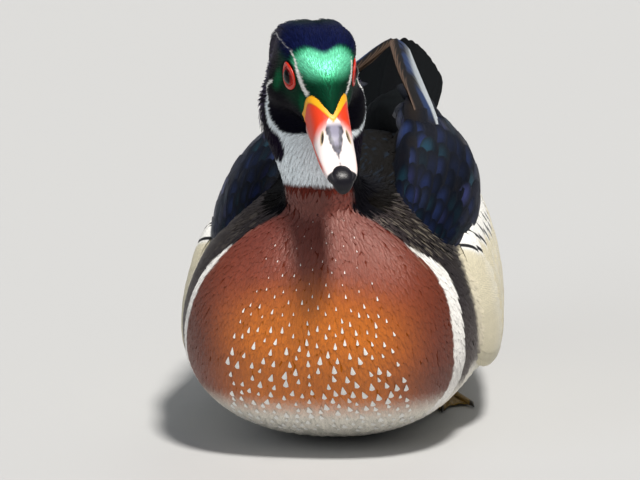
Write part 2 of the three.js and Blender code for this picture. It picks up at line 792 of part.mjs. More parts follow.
add("torso", fitted(trunkPieces, [], [belowFloor()]), CHESTNUT);
add("neck", fitted(neckPieces, [trunkPieces]), WHITE);
add("head", fitted(headPieces, [neckPieces, eyePieces(1), eyePieces(-1)]), GREEN);
add("crest", fitted(crestPieces, [headPieces, neckPieces]), GREEN);
add("bill_upper", fitted(upperPieces, [headPieces], [1, -1].map(nostril).map(onHead)), PALE_BILL);
add("bill_lower", fitted(lowerPieces, [headPieces, upperPieces]), PALE_BILL);
for (const [name, side] of [["left", 1], ["right", -1]]) {
  const wing = onSide(side, wingPieces);
  const flank = onSide(side, flankPieces);
  add("eye_" + name, fitted(eyePieces(side), []), RED_EYE);
  add("wing_" + name, fitted(wing, [trunkPieces, neckPieces]), BLACK);
  add("flank_" + name, fitted(flank, [trunkPieces, wing]), BUFF);
  add("leg_" + name, fitted(onSide(side, legPieces), [trunkPieces, flank], [belowFloor()]), FOOT);
}
add("tail", fitted(tailPieces, [trunkPieces, wingPieces, wingPieces.map(mirrored)]), BLACK);

export default group;
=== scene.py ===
"""The looks of a wood duck drake at life size, set down on its belly.

Places are in millimetres in the part's own frame and are turned into metres as each mesh is made.
The bird faces -Y and its left side is +X.
"""
import math

import bmesh
import bpy
import numpy as np
from mathutils import Matrix, Vector
from mathutils.bvhtree import BVHTree
from mathutils.kdtree import KDTree


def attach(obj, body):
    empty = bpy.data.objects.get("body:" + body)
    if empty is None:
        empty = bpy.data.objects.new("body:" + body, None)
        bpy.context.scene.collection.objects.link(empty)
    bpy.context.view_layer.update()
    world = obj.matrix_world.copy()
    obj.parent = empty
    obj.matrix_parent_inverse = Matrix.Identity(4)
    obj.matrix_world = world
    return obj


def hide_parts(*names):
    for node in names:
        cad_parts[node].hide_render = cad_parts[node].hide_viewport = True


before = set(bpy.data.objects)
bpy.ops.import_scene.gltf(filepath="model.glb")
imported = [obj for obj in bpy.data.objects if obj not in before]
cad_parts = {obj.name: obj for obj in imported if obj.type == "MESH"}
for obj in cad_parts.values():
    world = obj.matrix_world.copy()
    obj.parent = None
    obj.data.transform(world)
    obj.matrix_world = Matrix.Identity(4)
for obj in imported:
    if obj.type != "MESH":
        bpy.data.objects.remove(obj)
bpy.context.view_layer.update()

MM = 0.001
RNG = np.random.default_rng(41)
SIDES = ((1, "left"), (-1, "right"))

# The head's pose
HEAD_PITCH = 25.3  # degrees, bill down
HEAD_YAW = 18.9  # degrees, towards the bird's left
HEAD_ROLL = -1.0
EYES_AT = np.array([1.5, -133.0, 165.0])  # midpoint between the eyes
EYE_OUT = 10.4  # from the middle of the head to the centre of an eye
LID_RING = 4.9  # radius of the bare ring round an eye
HEAD_FROM = 112  # height above which the head's feathers begin
FRINGE_FROM = 118  # height above which its edge may be bristly

# The skin under the coat
SKIN_VOXEL = 1.7
SKIN_SMOOTHING = 10
FLOOR_CLEAR = 0.06  # the coat stays this far above the floor
SKIN_CLEAR = FLOOR_CLEAR + 0.7
ROOT_CLEAR = FLOOR_CLEAR + 0.75

# Small maths


def unit(v):
    return v / np.maximum(np.linalg.norm(v, axis=-1, keepdims=True), 1e-9)


def dot(a, b):
    return (a * b).sum(-1)


def ramp(low, high, x):
    """0 below low and 1 above high, smooth between."""
    s = np.clip((x - low) / (high - low), 0, 1)
    return s * s * (3 - 2 * s)


def mix(a, b, s):
    """From a to b as s goes from 0 to 1, for arrays of vectors."""
    s = np.asarray(s, float)[..., None]
    return np.asarray(a, float) * (1 - s) + np.asarray(b, float) * s


def layered(base, *layers):
    """A base with layers over it, each of a tone and of how much of it shows."""
    for tone, share in layers:
        base = mix(base, tone, share)
    return base


def stacked(*parts):
    """Values side by side along a new last axis, single numbers repeated."""
    return np.stack(np.broadcast_arrays(*parts), -1)


def colour(code):
    """A colour such as 0x7a3020 as linear red, green and blue."""
    srgb = np.array([(code >> 16) & 255, (code >> 8) & 255, code & 255]) / 255
    return np.where(srgb <= 0.04045, srgb / 12.92, ((srgb + 0.055) / 1.055) ** 2.4)


def smooth_through(points, t):
    """Places at t, from 0 to 1, on a smooth line through the points."""
    p = np.asarray(points, float)
    s = np.clip(np.asarray(t, float), 0, 1) * (len(p) - 1)
    i = np.minimum(s.astype(int), len(p) - 2)
    f = (s - i)[..., None]
    padded = np.vstack([2 * p[0] - p[1], p, 2 * p[-1] - p[-2]])
    a, b, c, d = (padded[i + k] for k in range(4))
    from_b, to_c = (c - a) / 2, (d - b) / 2
    bend = 3 * (c - b) - 2 * from_b - to_c
    twist = 2 * (b - c) + from_b + to_c
    return b + from_b * f + bend * f**2 + twist * f**3


def turn(axis, degrees):
    return np.array(Matrix.Rotation(math.radians(degrees), 3, axis))


HEAD_TURN = turn("Z", HEAD_YAW) @ turn("X", HEAD_PITCH) @ turn("Y", HEAD_ROLL)


def on_head(points):
    return np.asarray(points) @ HEAD_TURN.T + EYES_AT


def in_head(points):
    return (np.asarray(points) - EYES_AT) @ HEAD_TURN


def mirrored(points, side):
    return np.asarray(points) * np.array([side, 1, 1])


def folded(p):
    """How far out from the middle places are, how far back and how high."""
    return np.abs(p[:, 0]), p[:, 1], p[:, 2]


def head_share(p, low, high):
    """1 on the head and 0 on the neck and body, changing between two heights on the head."""
    return ramp(low, high, in_head(p)[:, 2]) * ramp(HEAD_FROM, HEAD_FROM + 12, p[:, 2])


# Surfaces: functions of t, from 0 to 1 along, and of the angle round in degrees


def paired(t, degrees):
    return np.broadcast_arrays(np.asarray(t, float), np.asarray(degrees, float))


def body_surface(stations, square_top, square_bottom, shape=None):
    """Sections between a top, a bottom and a side line.

    A station is top y, top z, bottom y, bottom z, side x, side y, side z, or y, z where all three meet.
    """
    stations = [
        station if len(station) > 2 else [*station, *station, 0, *station] for station in stations
    ]

    def surface(t, degrees):
        t, degrees = paired(t, degrees)
        line = smooth_through(stations, t)
        across, up = np.cos(np.radians(degrees)), np.sin(np.radians(degrees))
        power = np.where(up > 0, 2 / square_top, 2 / square_bottom)
        middle = line[..., 5:7]
        reach = np.where(up[..., None] > 0, line[..., 0:2], line[..., 2:4]) - middle
        point = np.empty(t.shape + (3,))
        point[..., 0] = line[..., 4] * np.sign(across) * np.abs(across) ** power
        point[..., 1:] = middle + reach * (np.abs(up) ** power)[..., None]
        return shape(point) if shape else point

    return surface


def limb_surface(stations):
    """Elliptical sections at x, y, z of half width and half depth, with a roll where one is given."""
    stations = np.array([[*station, 0][:6] for station in stations], float)

    def surface(t, degrees):
        t, degrees = paired(t, degrees)
        line = smooth_through(stations, t)
        ahead = smooth_through(stations[:, :3], np.minimum(t + 1e-3, 1))
        behind = smooth_through(stations[:, :3], np.maximum(t - 1e-3, 0))
        along = unit(ahead - behind)
        roll = np.radians(line[..., 5])
        across = np.stack([np.cos(roll), np.zeros_like(roll), -np.sin(roll)], -1)
        across = unit(across - along * dot(across, along)[..., None])
        outward = unit(np.cross(across, along))
        closed = ((t > 0) & (t < 1))[..., None]
        angle = np.radians(degrees)[..., None]
        ring = across * np.cos(angle) * line[..., 3:4] + outward * np.sin(angle) * line[..., 4:5]
        return line[..., :3] + np.where(closed, ring, 0)

    return surface


def first_part(surface, end):
    """The first part of a surface, with a blunt end."""

    def part(t, degrees):
        t, degrees = paired(t, degrees)
        middle = (surface(end, 0) + surface(end, 180)) / 2
        return np.where((t < 1)[..., None], surface(t * end, degrees), middle)

    return part


def headed(surface):
    return lambda t, degrees: on_head(surface(t, degrees))


def beside(surface, side):
    return lambda t, degrees: mirrored(surface(t, degrees), side)


def outwards(surface, t, degrees):
    here = surface(t, degrees)
    round_it = surface(t, degrees + 2) - surface(t, degrees - 2)
    along = surface(np.minimum(t + 0.01, 0.999), degrees) - surface(np.maximum(t - 0.01, 0.001), degrees)
    normal = unit(np.cross(round_it, along))
    away = here - surface(t, degrees + 180)
    return np.where(dot(normal, away)[..., None] < 0, -normal, normal)


# The bird's main forms, as the solids have them

TRUNK = [
    [-150, 60],
    [-147.5, 78, -147.5, 42, 27, -146, 56],
    [-139, 94, -139, 24, 45, -136, 53],
    [-124, 106, -121, 9, 57, -118, 50],
    [-96, 113, -94, 1, 63, -93, 49],
    [-55, 115, -55, -2.5, 65, -55, 50],
    [-8, 114, -8, -2.5, 61.5, -8, 52],
    [38, 108, 36, 1, 53, 37, 57],
    [74, 99, 70, 13, 42, 72, 65],
    [100, 94, 96, 32, 31, 98, 74],
    [120, 93, 117, 53, 22, 118, 82],
    [135, 95, 133, 71, 14, 134, 88],
    [146, 96, 145, 84, 8, 145, 92],
    [151, 93],
]
NECK = [
    [0, -92, 66, 42, 38],
    [0, -98, 83, 36, 33],
    [0, -104, 98, 26, 27],
    [-1, -111, 112, 16.5, 19],
    [-2.5, -111, 126, 18.5, 20],
    [-4.5, -108, 139, 22, 19],
    [-5, -107, 151, 22, 17],
    [-5, -108, 160, 17, 13],
    [-5, -108, 166, 8, 6],
]
SKULL = [
    [-16.5, -6],
    [-16.5, 1, -15.5, -12.5, 6.8, -16, -6.5],
    [-13.5, 8, -12.5, -17.5, 9.6, -13, -6.5],
    [-8, 12.2, -7, -21, 12.3, -8, -6],
    [0, 14.4, 1, -24.5, 14.4, 0, -6],
    [9, 14.9, 8, -27.5, 15.9, 8, -6.5],
    [18, 13, 15, -31, 16.4, 16, -8],
    [26, 8, 22, -33, 15.6, 24, -9],
    [33, 0.5, 29, -31, 12, 31, -11],
    [38, -9, 36, -22, 6, 37, -14],
    [39.5, -15],
]
# Swellings and hollows of the skull: where, how far each reaches, and how far it pushes out
SKULL_FORMS = [
    ((16, 12, -21), 12, 5.6),
    ((15, 10, 10), 9, 1.8),
    ((14, -1, 0), 6, -0.8),
]
FOREHEAD = [
    [0, 6],
    [-6, 13, -6, -6, 11.6, -6, 3],
    [-12, 10.9, -12, -6, 8.9, -12, 3],
    [-17, 8.1, -17, -6, 6.1, -17, 2],
    [-23, 4.2, -23, -6, 3.6, -23, 0.2],
    [-28, 0.4, -28, -6, 1.4, -28, -2.2],
    [-30.4, -3.2],
]
UPPER_BILL = [
    [-6, -6],
    [-8, 4.6, -8, -14, 8.4, -8, -6],
    [-13, 3.8, -13, -15, 8.7, -13, -7.5],
    [-19, 1.6, -18, -15.2, 8.6, -18, -9.5],
    [-28, -1.6, -27, -15.2, 8.3, -27, -11.5],
    [-37, -6.6, -36, -14.8, 8.1, -36, -12.5],
    [-45, -9.6, -44, -14.8, 7.7, -44, -12.8],
    [-51.5, -11, -51, -15, 6.8, -51.5, -13.2],
    [-56.8, -12.8, -56, -15.8, 4.4, -56.5, -14.2],
    [-58.8, -16],
]
NAIL = [
    [-47.7, -12],
    [-50, -10.5, -49, -14.5, 3.6, -49.5, -12.5],
    [-53.5, -10.7, -53, -16, 5, -53.5, -13.5],
    [-57, -12.4, -56.5, -18, 4.2, -57, -14.8],
    [-59.0, -15.4, -58.2, -19, 2.2, -58.8, -17],
    [-58.8, -18.6],
]
LOWER_BILL = [
    [-8, -18],
    [-12, -15.6, -13, -21, 7.4, -13, -17],
    [-25, -15.4, -25, -19.8, 7.2, -25, -16.8],
    [-38, -15, -38, -18.4, 6.8, -38, -16],
    [-50, -15.2, -50, -17.6, 5.6, -50, -16],
    [-55.4, -16.4],
]
CREST = [
    [8, 14],
    [16, 14, 14, 5, 11.5, 15, 8],
    [26, 9, 22, -6, 14, 24, 0],
    [36, 0.8, 30, -20, 15, 33, -11],
    [44, -9, 35, -31, 14, 40, -22],
    [49.5, -20, 40, -38, 11, 45, -31],
    [52, -32, 46, -43, 6.5, 50, -39],
    [52, -45],
]
CREST_CORE = 0.72  # how far along the crest its core reaches
WING_PAD = [
    [36, -112, 84, 4, 3, 40],
    [37, -98, 87, 14, 6, 44],
    [38, -70, 92, 19, 9, 46],
    [37, -35, 97, 22, 11, 46],
    [34, 0, 101.5, 20, 11, 42],
    [28, 32, 105, 16, 8, 34],
    [20, 60, 107, 11, 4.5, 28],
    [12, 82, 106.5, 3, 2, 20],
]
FLANK = [
    [54, -98, 57, 3, 3, 82],
    [56, -84, 56, 22, 7, 80],
    [57, -55, 56, 31, 10, 78],
    [54, -15, 57, 30, 9.5, 77],
    [50, 18, 60, 26, 9, 74],
    [44.5, 46, 65, 21, 8.5, 70],
    [37.5, 72, 71, 15, 7.5, 64],
    [31, 86, 75, 4, 3, 60],
]
TAIL_BASE = [
    [1, 96, 84, 8, 5],
    [1.2, 108, 88, 13, 7],
    [1.6, 124, 93.5, 14.5, 6],
    [2, 138, 98.5, 12, 4],
    [2.2, 148, 102, 4, 1.5],
]


def swollen(point):
    moved = point.copy()
    side = np.sign(point[..., 0])
    for at, reach, push in SKULL_FORMS:
        centre = stacked(at[0] * side, at[1], at[2])
        distance = np.linalg.norm(point - centre, axis=-1)
        moved[..., 0] += side * push * np.exp(-((distance / reach) ** 2))
    return moved


trunk_surface = body_surface(TRUNK, 1.8, 2.2)
neck_surface = limb_surface(NECK)
skull_surface = body_surface(SKULL, 3.6, 2.1, swollen)
forehead_surface = body_surface(FOREHEAD, 2.4, 4)
upper_surface = body_surface(UPPER_BILL, 2.8, 5)
nail_surface = body_surface(NAIL, 2.2, 2.2)
lower_surface = body_surface(LOWER_BILL, 5, 2)
crest_surface = body_surface(CREST, 3.4, 2)
wing_surface = limb_surface(WING_PAD)
flank_surface = limb_surface(FLANK)
tail_surface = limb_surface(TAIL_BASE)

# Meshes


def outward_faces(points, faces):
    """The faces of a closed form turned to face outwards."""
    fans = [(face[0], face[k], face[k + 1]) for face in faces for k in range(1, len(face) - 1)]
    a, b, c = (points[[fan[k] for fan in fans]] for k in range(3))
    inside_out = dot(a, np.cross(b, c)).sum() < 0
    return [face[::-1] for face in faces] if inside_out else faces


def form(surface, count, around):
    """A closed form on a surface: its points, and its faces."""
    t = np.arange(1, count + 1) / (count + 1)
    degrees = np.arange(around) * 360 / around
    rings = surface(t[:, None], degrees[None, :]).reshape(-1, 3)
    points = np.vstack([surface(0, 0)[None], rings, surface(1, 0)[None]])
    faces = []
    for i in range(around):
        j = (i + 1) % around
        faces.append((0, 1 + j, 1 + i))
        for k in range(count - 1):
            a, b = 1 + k * around, 1 + (k + 1) * around
            faces.append((a + i, a + j, b + j, b + i))
        last = 1 + (count - 1) * around
        faces.append((len(points) - 1, last + i, last + j))
    return points, outward_faces(points, faces)


def form_places(count, around, first=0.0, last=1.0):
    """How far along a closed form and at how many degrees each of its points lies."""
    t = np.repeat(np.arange(1, count + 1) / (count + 1), around)
    degrees = np.tile(np.arange(around) * 360 / around, count)
    return np.concatenate([[first], t, [last]]), np.concatenate([[0], degrees, [0]])


def grid(rows, columns, closed_rows=False, closed_columns=False):
    """The faces of a grid of points, which may close round either way."""
    faces = []
    for i in range(rows if closed_rows else rows - 1):
        for j in range(columns if closed_columns else columns - 1):
            here, beyond = i * columns, (i + 1) % rows * columns
            k = (j + 1) % columns
            faces.append((here + j, here + k, beyond + k, beyond + j))
    return faces


def rolled(faces):
    """The faces begun one corner later, so that those with four sides split the other way."""
    return [face[1:] + face[:1] for face in faces]


def mesh_of(name, parts):
    """A mesh in metres from parts in millimetres, each of points and faces."""
    points, faces, start = [], [], 0
    for part_points, part_faces in parts:
        points.append(part_points)
        faces += [tuple(start + i for i in face) for face in part_faces]
        start += len(part_points)
    mesh = bpy.data.meshes.new(name)
    mesh.from_pydata((np.vstack(points) * MM).tolist(), [], faces)
    mesh.validate()
    mesh.shade_smooth()
    return mesh


def object_of(name, mesh):
    piece = bpy.data.objects.new(name, mesh)
    bpy.context.scene.collection.objects.link(piece)
    return piece


def facing_out(piece):
    """Turns the faces of a closed piece outwards."""
    work = bmesh.new()
    work.from_mesh(piece.data)
    bmesh.ops.recalc_face_normals(work, faces=work.faces)
    work.to_mesh(piece.data)
    work.free()


def applied(piece):
    """Makes what the modifiers of a piece show its own mesh."""
    evaluated = piece.evaluated_get(bpy.context.evaluated_depsgraph_get())
    made = bpy.data.meshes.new_from_object(evaluated)
    piece.modifiers.clear()
    old, piece.data = piece.data, made
    bpy.data.meshes.remove(old)
    made.name = piece.name


def vectors(mesh, name):
    """A vector for each point of a mesh."""
    found = np.empty(len(mesh.vertices) * 3, np.float32)
    mesh.vertices.foreach_get(name, found)
    return found.reshape(-1, 3).astype(float)


def corners_of(mesh):
    """The points and triangles of a mesh, in millimetres."""
    mesh.calc_loop_triangles()
    triangles = np.empty(len(mesh.loop_triangles) * 3, np.int32)
    mesh.loop_triangles.foreach_get("vertices", triangles)
    return vectors(mesh, "co") / MM, triangles.reshape(-1, 3)


def tree_of(points, faces):
    return BVHTree.FromPolygons([Vector(p) for p in points], [tuple(int(i) for i in f) for f in faces])


def nearest(tree, points):
    """The nearest places on a surface, with their normals and signed distances."""
    places, normals = np.empty_like(points), np.empty_like(points)
    for i, p in enumerate(points):
        place, normal, _, _ = tree.find_nearest(Vector(p))
        places[i], normals[i] = place, normal
    return places, normals, dot(points - places, normals)


# Markings, the same on the skin and on the coat

CHESTNUT = colour(0x7A341C)
CHESTNUT_LOW = colour(0xC46A12)
CHESTNUT_DEEP = colour(0x521E0A)
CHESTNUT_TOP = colour(0x602A22)
WHITE = colour(0xEFEDE8)
# white with the cool, bluish tint of shade painted in, for the throat under the head
SHADE_TINTED_WHITE = colour(0xE4ECF0)
BLACK = colour(0x0D0C10)
BUFF = colour(0xD8CFB4)
BELLY = colour(0xE3DFD3)
BRONZE = colour(0x100D0A)
# painted highlight: the tone of the pale glints painted on the shoulders
BRONZE_GLINT = colour(0x8C8472)
BACK = colour(0x070707)
# painted highlight: blue glints on some feathers of the back
BACK_BLUE_GLINT = colour(0x1A2634)
MAROON = colour(0x3A1828)
GREEN = colour(0x1C8A58)
# painted highlight: the pale mint band where the forehead's green catches the light
MINT_HIGHLIGHT = colour(0x68CCA2)
DARK_GREEN = colour(0x0B3A26)
CROWN = colour(0x12183C)
CHEEK = colour(0x0B0A12)
NAPE = colour(0x140A1E)
CREST_GREEN = colour(0x071C1C)
CREST_PURPLE = colour(0x1E1030)
FRINGE_TIP = colour(0x8A7AA4)

# Lines of white on the side of the head, as (y, z) on the head with half widths
BROW = [
    (-13.5, 0.4, 1.0), (-9, 4.2, 1.1), (-5, 6.9, 0.9), (-1.2, 9.2, 0.35), (3.5, 10.4, 0.0),
    (12, 9.4, 0.0), (21, 4.8, 0.05), (27, 1.6, 0.2), (35, -2.4, 0.4), (41, -9, 0.7), (47, -20, 1.0),
    (51, -33, 1.1),
]
EYE_LINE = [(23, -9.5, 0.4), (29, -15, 0.9), (36, -24, 1.2), (43, -35, 1.3)]
CHEEK_LINE = [
    (11, -10.5, 0.7), (13.6, -13.5, 0.9), (16, -18, 1.0), (16, -22, 1.05), (14.4, -26, 1.15),
    (10, -30, 1.4), (0.5, -33, 2.2),
]
CHEEK_EDGE = ([-14, -9, -3, 3], [-16.5, -24, -28.5, -31])  # y, z of the dark cheek's lower edge

# How many degrees round from the front the white reaches at each height of the neck
NECK_HEIGHTS = [110, 116.5, 118, 123, 125.5, 129, 133, 141, 150]
NECK_WHITE = {1: [26, 28, 30, 31, 32, 34, 40, 58, 75], -1: [60, 70, 120, 118, 44, 36, 40, 58, 75]}
NECK_MIDDLE = (-3.5, -110)
COLLAR = 116.5  # height of the white's lower end in front

# The white band in front of the flank: how far forward it starts at each height
BAND_HEIGHTS = [0, 20, 46, 58, 71, 80, 90]
BAND_FRONT = {
    1: [-98, -110, -119, -120, -118, -118, -121],
    -1: [-92, -103, -114, -117, -119, -121, -122],
}
BAND_TOP = 90.0
WHITE_BAND = {1: 9.5, -1: 5.5}  # width on the bird's left side and on its right
BLACK_BAND = {1: 10.0, -1: 8.0}


def near_line(line, y, z):
    """How deep each place lies inside a line of a given half width, in millimetres."""
    line = np.asarray(line, float)
    best = np.full(y.shape, -1e9)
    for a, b in zip(line[:-1], line[1:]):
        along = b[:2] - a[:2]
        s = np.clip(((y - a[0]) * along[0] + (z - a[1]) * along[1]) / (along @ along), 0, 1)
        away = np.hypot(y - a[0] - s * along[0], z - a[1] - s * along[1])
        best = np.maximum(best, a[2] + s * (b[2] - a[2]) - away)
    return best


def dark_head(x, y, z, side, top):
    """The head without its white lines: glossy greens and purples, a painted mint highlight across the forehead,
    painted green highlights behind the eye and by the bill, and a black rim round the eye.
    """
    behind = ramp(6, 22, y)
    forehead_highlight = ramp(3.5, -2.5, y + 0.12 * x) * ramp(-18, -11, y)
    glint_behind_eye = ramp(4.5, 0.5, np.hypot(y - 7.5, 0.6 * (z + 7)))
    glint_by_bill = ramp(-9, -13, y) * ramp(-17, -11, z) * ramp(0, -4, z)
    crest_top = ramp(14, 24, y) * ramp(-4, 3, z + 0.78 * (y - 18))
    return layered(
        CHEEK,
        (DARK_GREEN, ramp(-14, -5, z) * ramp(16, 4, y) * 0.8),
        (NAPE, behind * ramp(4, -8, z)),
        (CREST_PURPLE, behind * ramp(-2, 8, z + 0.7 * (y - 12)) * side * 0.9),
        (GREEN, top * ramp(4, -2, y)),
        # painted highlight: a mint band across the forehead
        (MINT_HIGHLIGHT, top * forehead_highlight),
        (DARK_GREEN, ramp(-14, -21, y) * ramp(-6, 0, z) * (1 - side) * 0.9),
        (CROWN, top * ramp(-1.5, 2.5, y - 0.1 * x + 4 * ramp(8, 0, x))),
        # painted highlights: green gloss behind the eye and by the bill, on the iridescent feathers
        (GREEN * 0.5, np.maximum(glint_behind_eye, glint_by_bill) * side),
        (DARK_GREEN, side * ramp(2, 5, z) * ramp(16, 6, y) * (1 - top)),
        (CREST_GREEN, crest_top * (1 - side)),
        (BLACK, ramp(1.4, 0.4, np.hypot(y, z) - LID_RING - 0.6) * side),
    )


def head_white(x, y, z, left):
    """How white each place on the head is: brow, eye line, cheek line and throat."""
    brow = near_line(BROW, y, z) - 0.35 * left * ramp(-4, -1, y) * ramp(30, 20, y)
    lines = ramp(-0.35, 0.35, np.maximum(brow, near_line(EYE_LINE, y, z)))
    cheek = ramp(-0.4, 0.4, near_line(CHEEK_LINE, y + 1.6 * left, z))
    throat = ramp(0.5, -0.5, z - np.interp(y, *CHEEK_EDGE)) * ramp(6, 3, y)
    return np.maximum(np.maximum(lines, cheek) * ramp(4, 7, x), throat)


def head_colours(local):
    """Colour and gloss on the head and the crest."""
    x, y, z = folded(local)
    top = ramp(1, 9, z + 0.25 * np.minimum(y, 0))
    white = head_white(x, y, z, local[:, 0] > 0)
    # the lower whites take the painted cool tint of the shade under the head
    pale = mix(SHADE_TINTED_WHITE, WHITE, ramp(-26, -16, z))
    return mix(dark_head(x, y, z, ramp(6, 12, x), top), pale, white), (0.5 + 0.12 * top) * (1 - white)


def by_side(x, z, heights, table):
    """The value at each height from a table for the bird's left side and one for its right."""
    return np.where(x > 0, *(np.interp(z, heights, table[side]) for side, _ in SIDES))


def neck_colours(p):
    """Colour and gloss on the neck: a white front, a dark nape and the breast's upper edge."""
    x, y, z = p.T
    round_it = np.degrees(np.arctan2(np.abs(x - NECK_MIDDLE[0]), NECK_MIDDLE[1] - y))
    edge = by_side(x - NECK_MIDDLE[0], z, NECK_HEIGHTS, NECK_WHITE)
    front_top = COLLAR - 0.02 * round_it
    white = ramp(3, -3, round_it - edge) * ramp(front_top - 0.8, front_top + 0.8, z)
    chestnut = ramp(-118, -122, y) * ramp(front_top + 0.8, front_top - 0.8, z)
    dark = mix(BLACK, NAPE, ramp(112, 132, z))
    # the white front takes the painted cool tint of shade
    found = layered(dark, (SHADE_TINTED_WHITE, white), (CHESTNUT_TOP, chestnut))
    return found, 0.45 * (1 - white) * (1 - chestnut)


def band_front(x, z):
    """How far forward the white band begins, on the bird's left or right side."""
    return by_side(x, z, BAND_HEIGHTS, BAND_FRONT)


def flank_patch(x, y, z):
    """1 on the buff flank, an oval that is blunter in front."""
    along, above = np.abs(y + 8) / 84, np.abs(z - 58) / 31
    power = np.where(y < -8, 3.0, 2.0)
    inside = 1 - ramp(0.94, 1.04, (along**power + above**power) ** (1 / power))
    return inside * ramp(25, 38, x)


def breast_tone(x, z):
    """The chestnut of the breast, orange low in front and dark at the sides and near the neck."""
    return layered(
        CHESTNUT,
        (CHESTNUT_TOP, ramp(70, 100, z) * 0.9),
        (CHESTNUT_DEEP, ramp(30, 58, x) * 0.85),
        (CHESTNUT_LOW, ramp(88, 62, z + 0.25 * x) * ramp(52, 20, x)),
        (BELLY, ramp(30, 16, z)),
    )


def trunk_colours(p):
    """Colour and gloss on the body."""
    x, y, z = folded(p)
    past = y - band_front(p[:, 0], z)
    white, black = (np.where(p[:, 0] > 0, band[1], band[-1]) for band in (WHITE_BAND, BLACK_BAND))
    white = white * ramp(BAND_TOP + 2, BAND_TOP - 14, z)
    breast = ramp(0.6, -0.6, past + 0.4)
    found = layered(
        mix(BACK, BRONZE, ramp(75, 100, z) * ramp(60, 0, y)),
        (BUFF, flank_patch(x, y, z)),
        (BELLY, ramp(34, 26, z - 0.05 * x) * ramp(104, 88, y)),
        (MAROON, ramp(80, 92, y) * ramp(122, 104, y) * ramp(56, 70, z) * ramp(96, 84, z)),
        (BLACK, ramp(0.6, -0.6, past - white - black) * ramp(22, 32, z)),
        (WHITE, ramp(0.5, -0.5, past - white) * ramp(8, 20, z) * ramp(0.2, 1.0, white)),
        (breast_tone(x, z), breast),
    )
    return found, 0.4 * ramp(80, 100, z) * (1 - breast)


def markings(p):
    """Colour and gloss at places on the bird."""
    local = in_head(p)
    neck = ramp(107, 109, p[:, 2]) * ramp(32, 28, np.abs(p[:, 0])) * ramp(-72, -80, p[:, 1])
    head = ramp(-33.5, -31.5, local[:, 2] + 0.12 * (local[:, 1] - 5))
    head = head * ramp(HEAD_FROM, HEAD_FROM + 8, p[:, 2])
    found, gloss = trunk_colours(p)
    for share, (tone, shine) in ((neck, neck_colours(p)), (head, head_colours(local))):
        found, gloss = mix(found, tone, share), gloss * (1 - share) + shine * share
    return found, gloss


# Materials


class Nodes:
    """Short ways to add and join the nodes of one material."""

    def __init__(self, name):
        self.material = bpy.data.materials.new(name)
        self.material.use_nodes = True
        self.tree = self.material.node_tree
        self.shader = self.tree.nodes["Principled BSDF"]

    def add(self, kind, values=(), **settings):
        node = self.tree.nodes.new("ShaderNode" + kind)
        for key, value in settings.items():
            setattr(node, key, value)
        for key, value in dict(values).items():
            self.set(node.inputs[key], value)
        return node

    def set(self, socket, value):
        if isinstance(value, bpy.types.NodeSocket):
            self.tree.links.new(value, socket)
        else:
            socket.default_value = value

    def maths(self, operation, *values):
        node = self.add("Math", operation=operation)
        for socket, value in zip(node.inputs, values):
            self.set(socket, value)
        return node.outputs[0]

    def total(self, start, *terms):
        """A start plus sockets, each times its weight."""
        for socket, weight in terms:
            start = self.maths("MULTIPLY_ADD", socket, weight, start)
        return start

    def noise(self, scale, detail, **inputs):
        return self.add("TexNoise", {"Scale": scale, "Detail": detail, **inputs}).outputs["Fac"]

    def attribute(self, name, output="Color"):
        return self.add("Attribute", attribute_name=name).outputs[output]

    def place(self, layer):
        """The two coordinates of a UV map."""
        return self.add("SeparateXYZ", {0: self.add("UVMap", uv_map=layer).outputs[0]}).outputs

    def ramp(self, value, *stops):
        """A colour ramp, with stops of a position and a colour or a grey."""
        node = self.add("ValToRGB", {"Fac": value})
        elements = node.color_ramp.elements
        while len(elements) < len(stops):
            elements.new(0.5)
        for element, (position, tone) in zip(elements, stops):
            element.position = position
            element.color = (*np.broadcast_to(tone, 3), 1)
        return node.outputs["Color"]

    def shaded(self, paint, shade):
        node = self.add("Mix", {0: 1.0, 6: paint, 7: shade}, data_type="RGBA", blend_type="MULTIPLY")
        return node.outputs[2]

    def bump(self, height, strength, distance):
        values = {"Strength": strength, "Distance": distance, "Height": height}
        return self.add("Bump", values).outputs[0]

    def finish(self, **values):
        for key, value in values.items():
            self.set(self.shader.inputs[key.replace("_", " ")], value)
        return self.material


FEATHER_METAL = 0.7  # of the glossiest feathers
DARK_EDGE = (0.12, 0.16, 0.3, 1)  # the gloss of dark feathers seen almost edge on
WARM_EDGE = (1.0, 0.7, 0.64, 1)  # the rosy gloss of the breast


def vane_pattern(n, barbs, slant):
    """The lines of the barbs and the shaft on a vane, with a fine grain."""
    where = n.place("Vane")
    across = n.maths("ABSOLUTE", n.maths("SUBTRACT", where[0], 0.5))
    line = n.total(where[1], (across, -slant))
    grain = n.noise(900.0, 3.0)
    barb = n.maths("SINE", n.maths("MULTIPLY", n.total(line, (grain, 0.06)), barbs * math.tau))
    return line, barb, n.maths("LESS_THAN", across, 0.018), grain


def streak_pattern(n):
    """Fine streaks along each vane, different on each."""
    where, root = n.place("Vane"), n.place("OFBake")
    across = n.total(n.maths("MULTIPLY", where[0], 5.0), (root[0], 900.0))
    down = n.total(where[1], (root[1], 900.0))
    return n.noise(1.0, 2.0, Vector=n.add("CombineXYZ", {0: across, 1: down}).outputs[0])


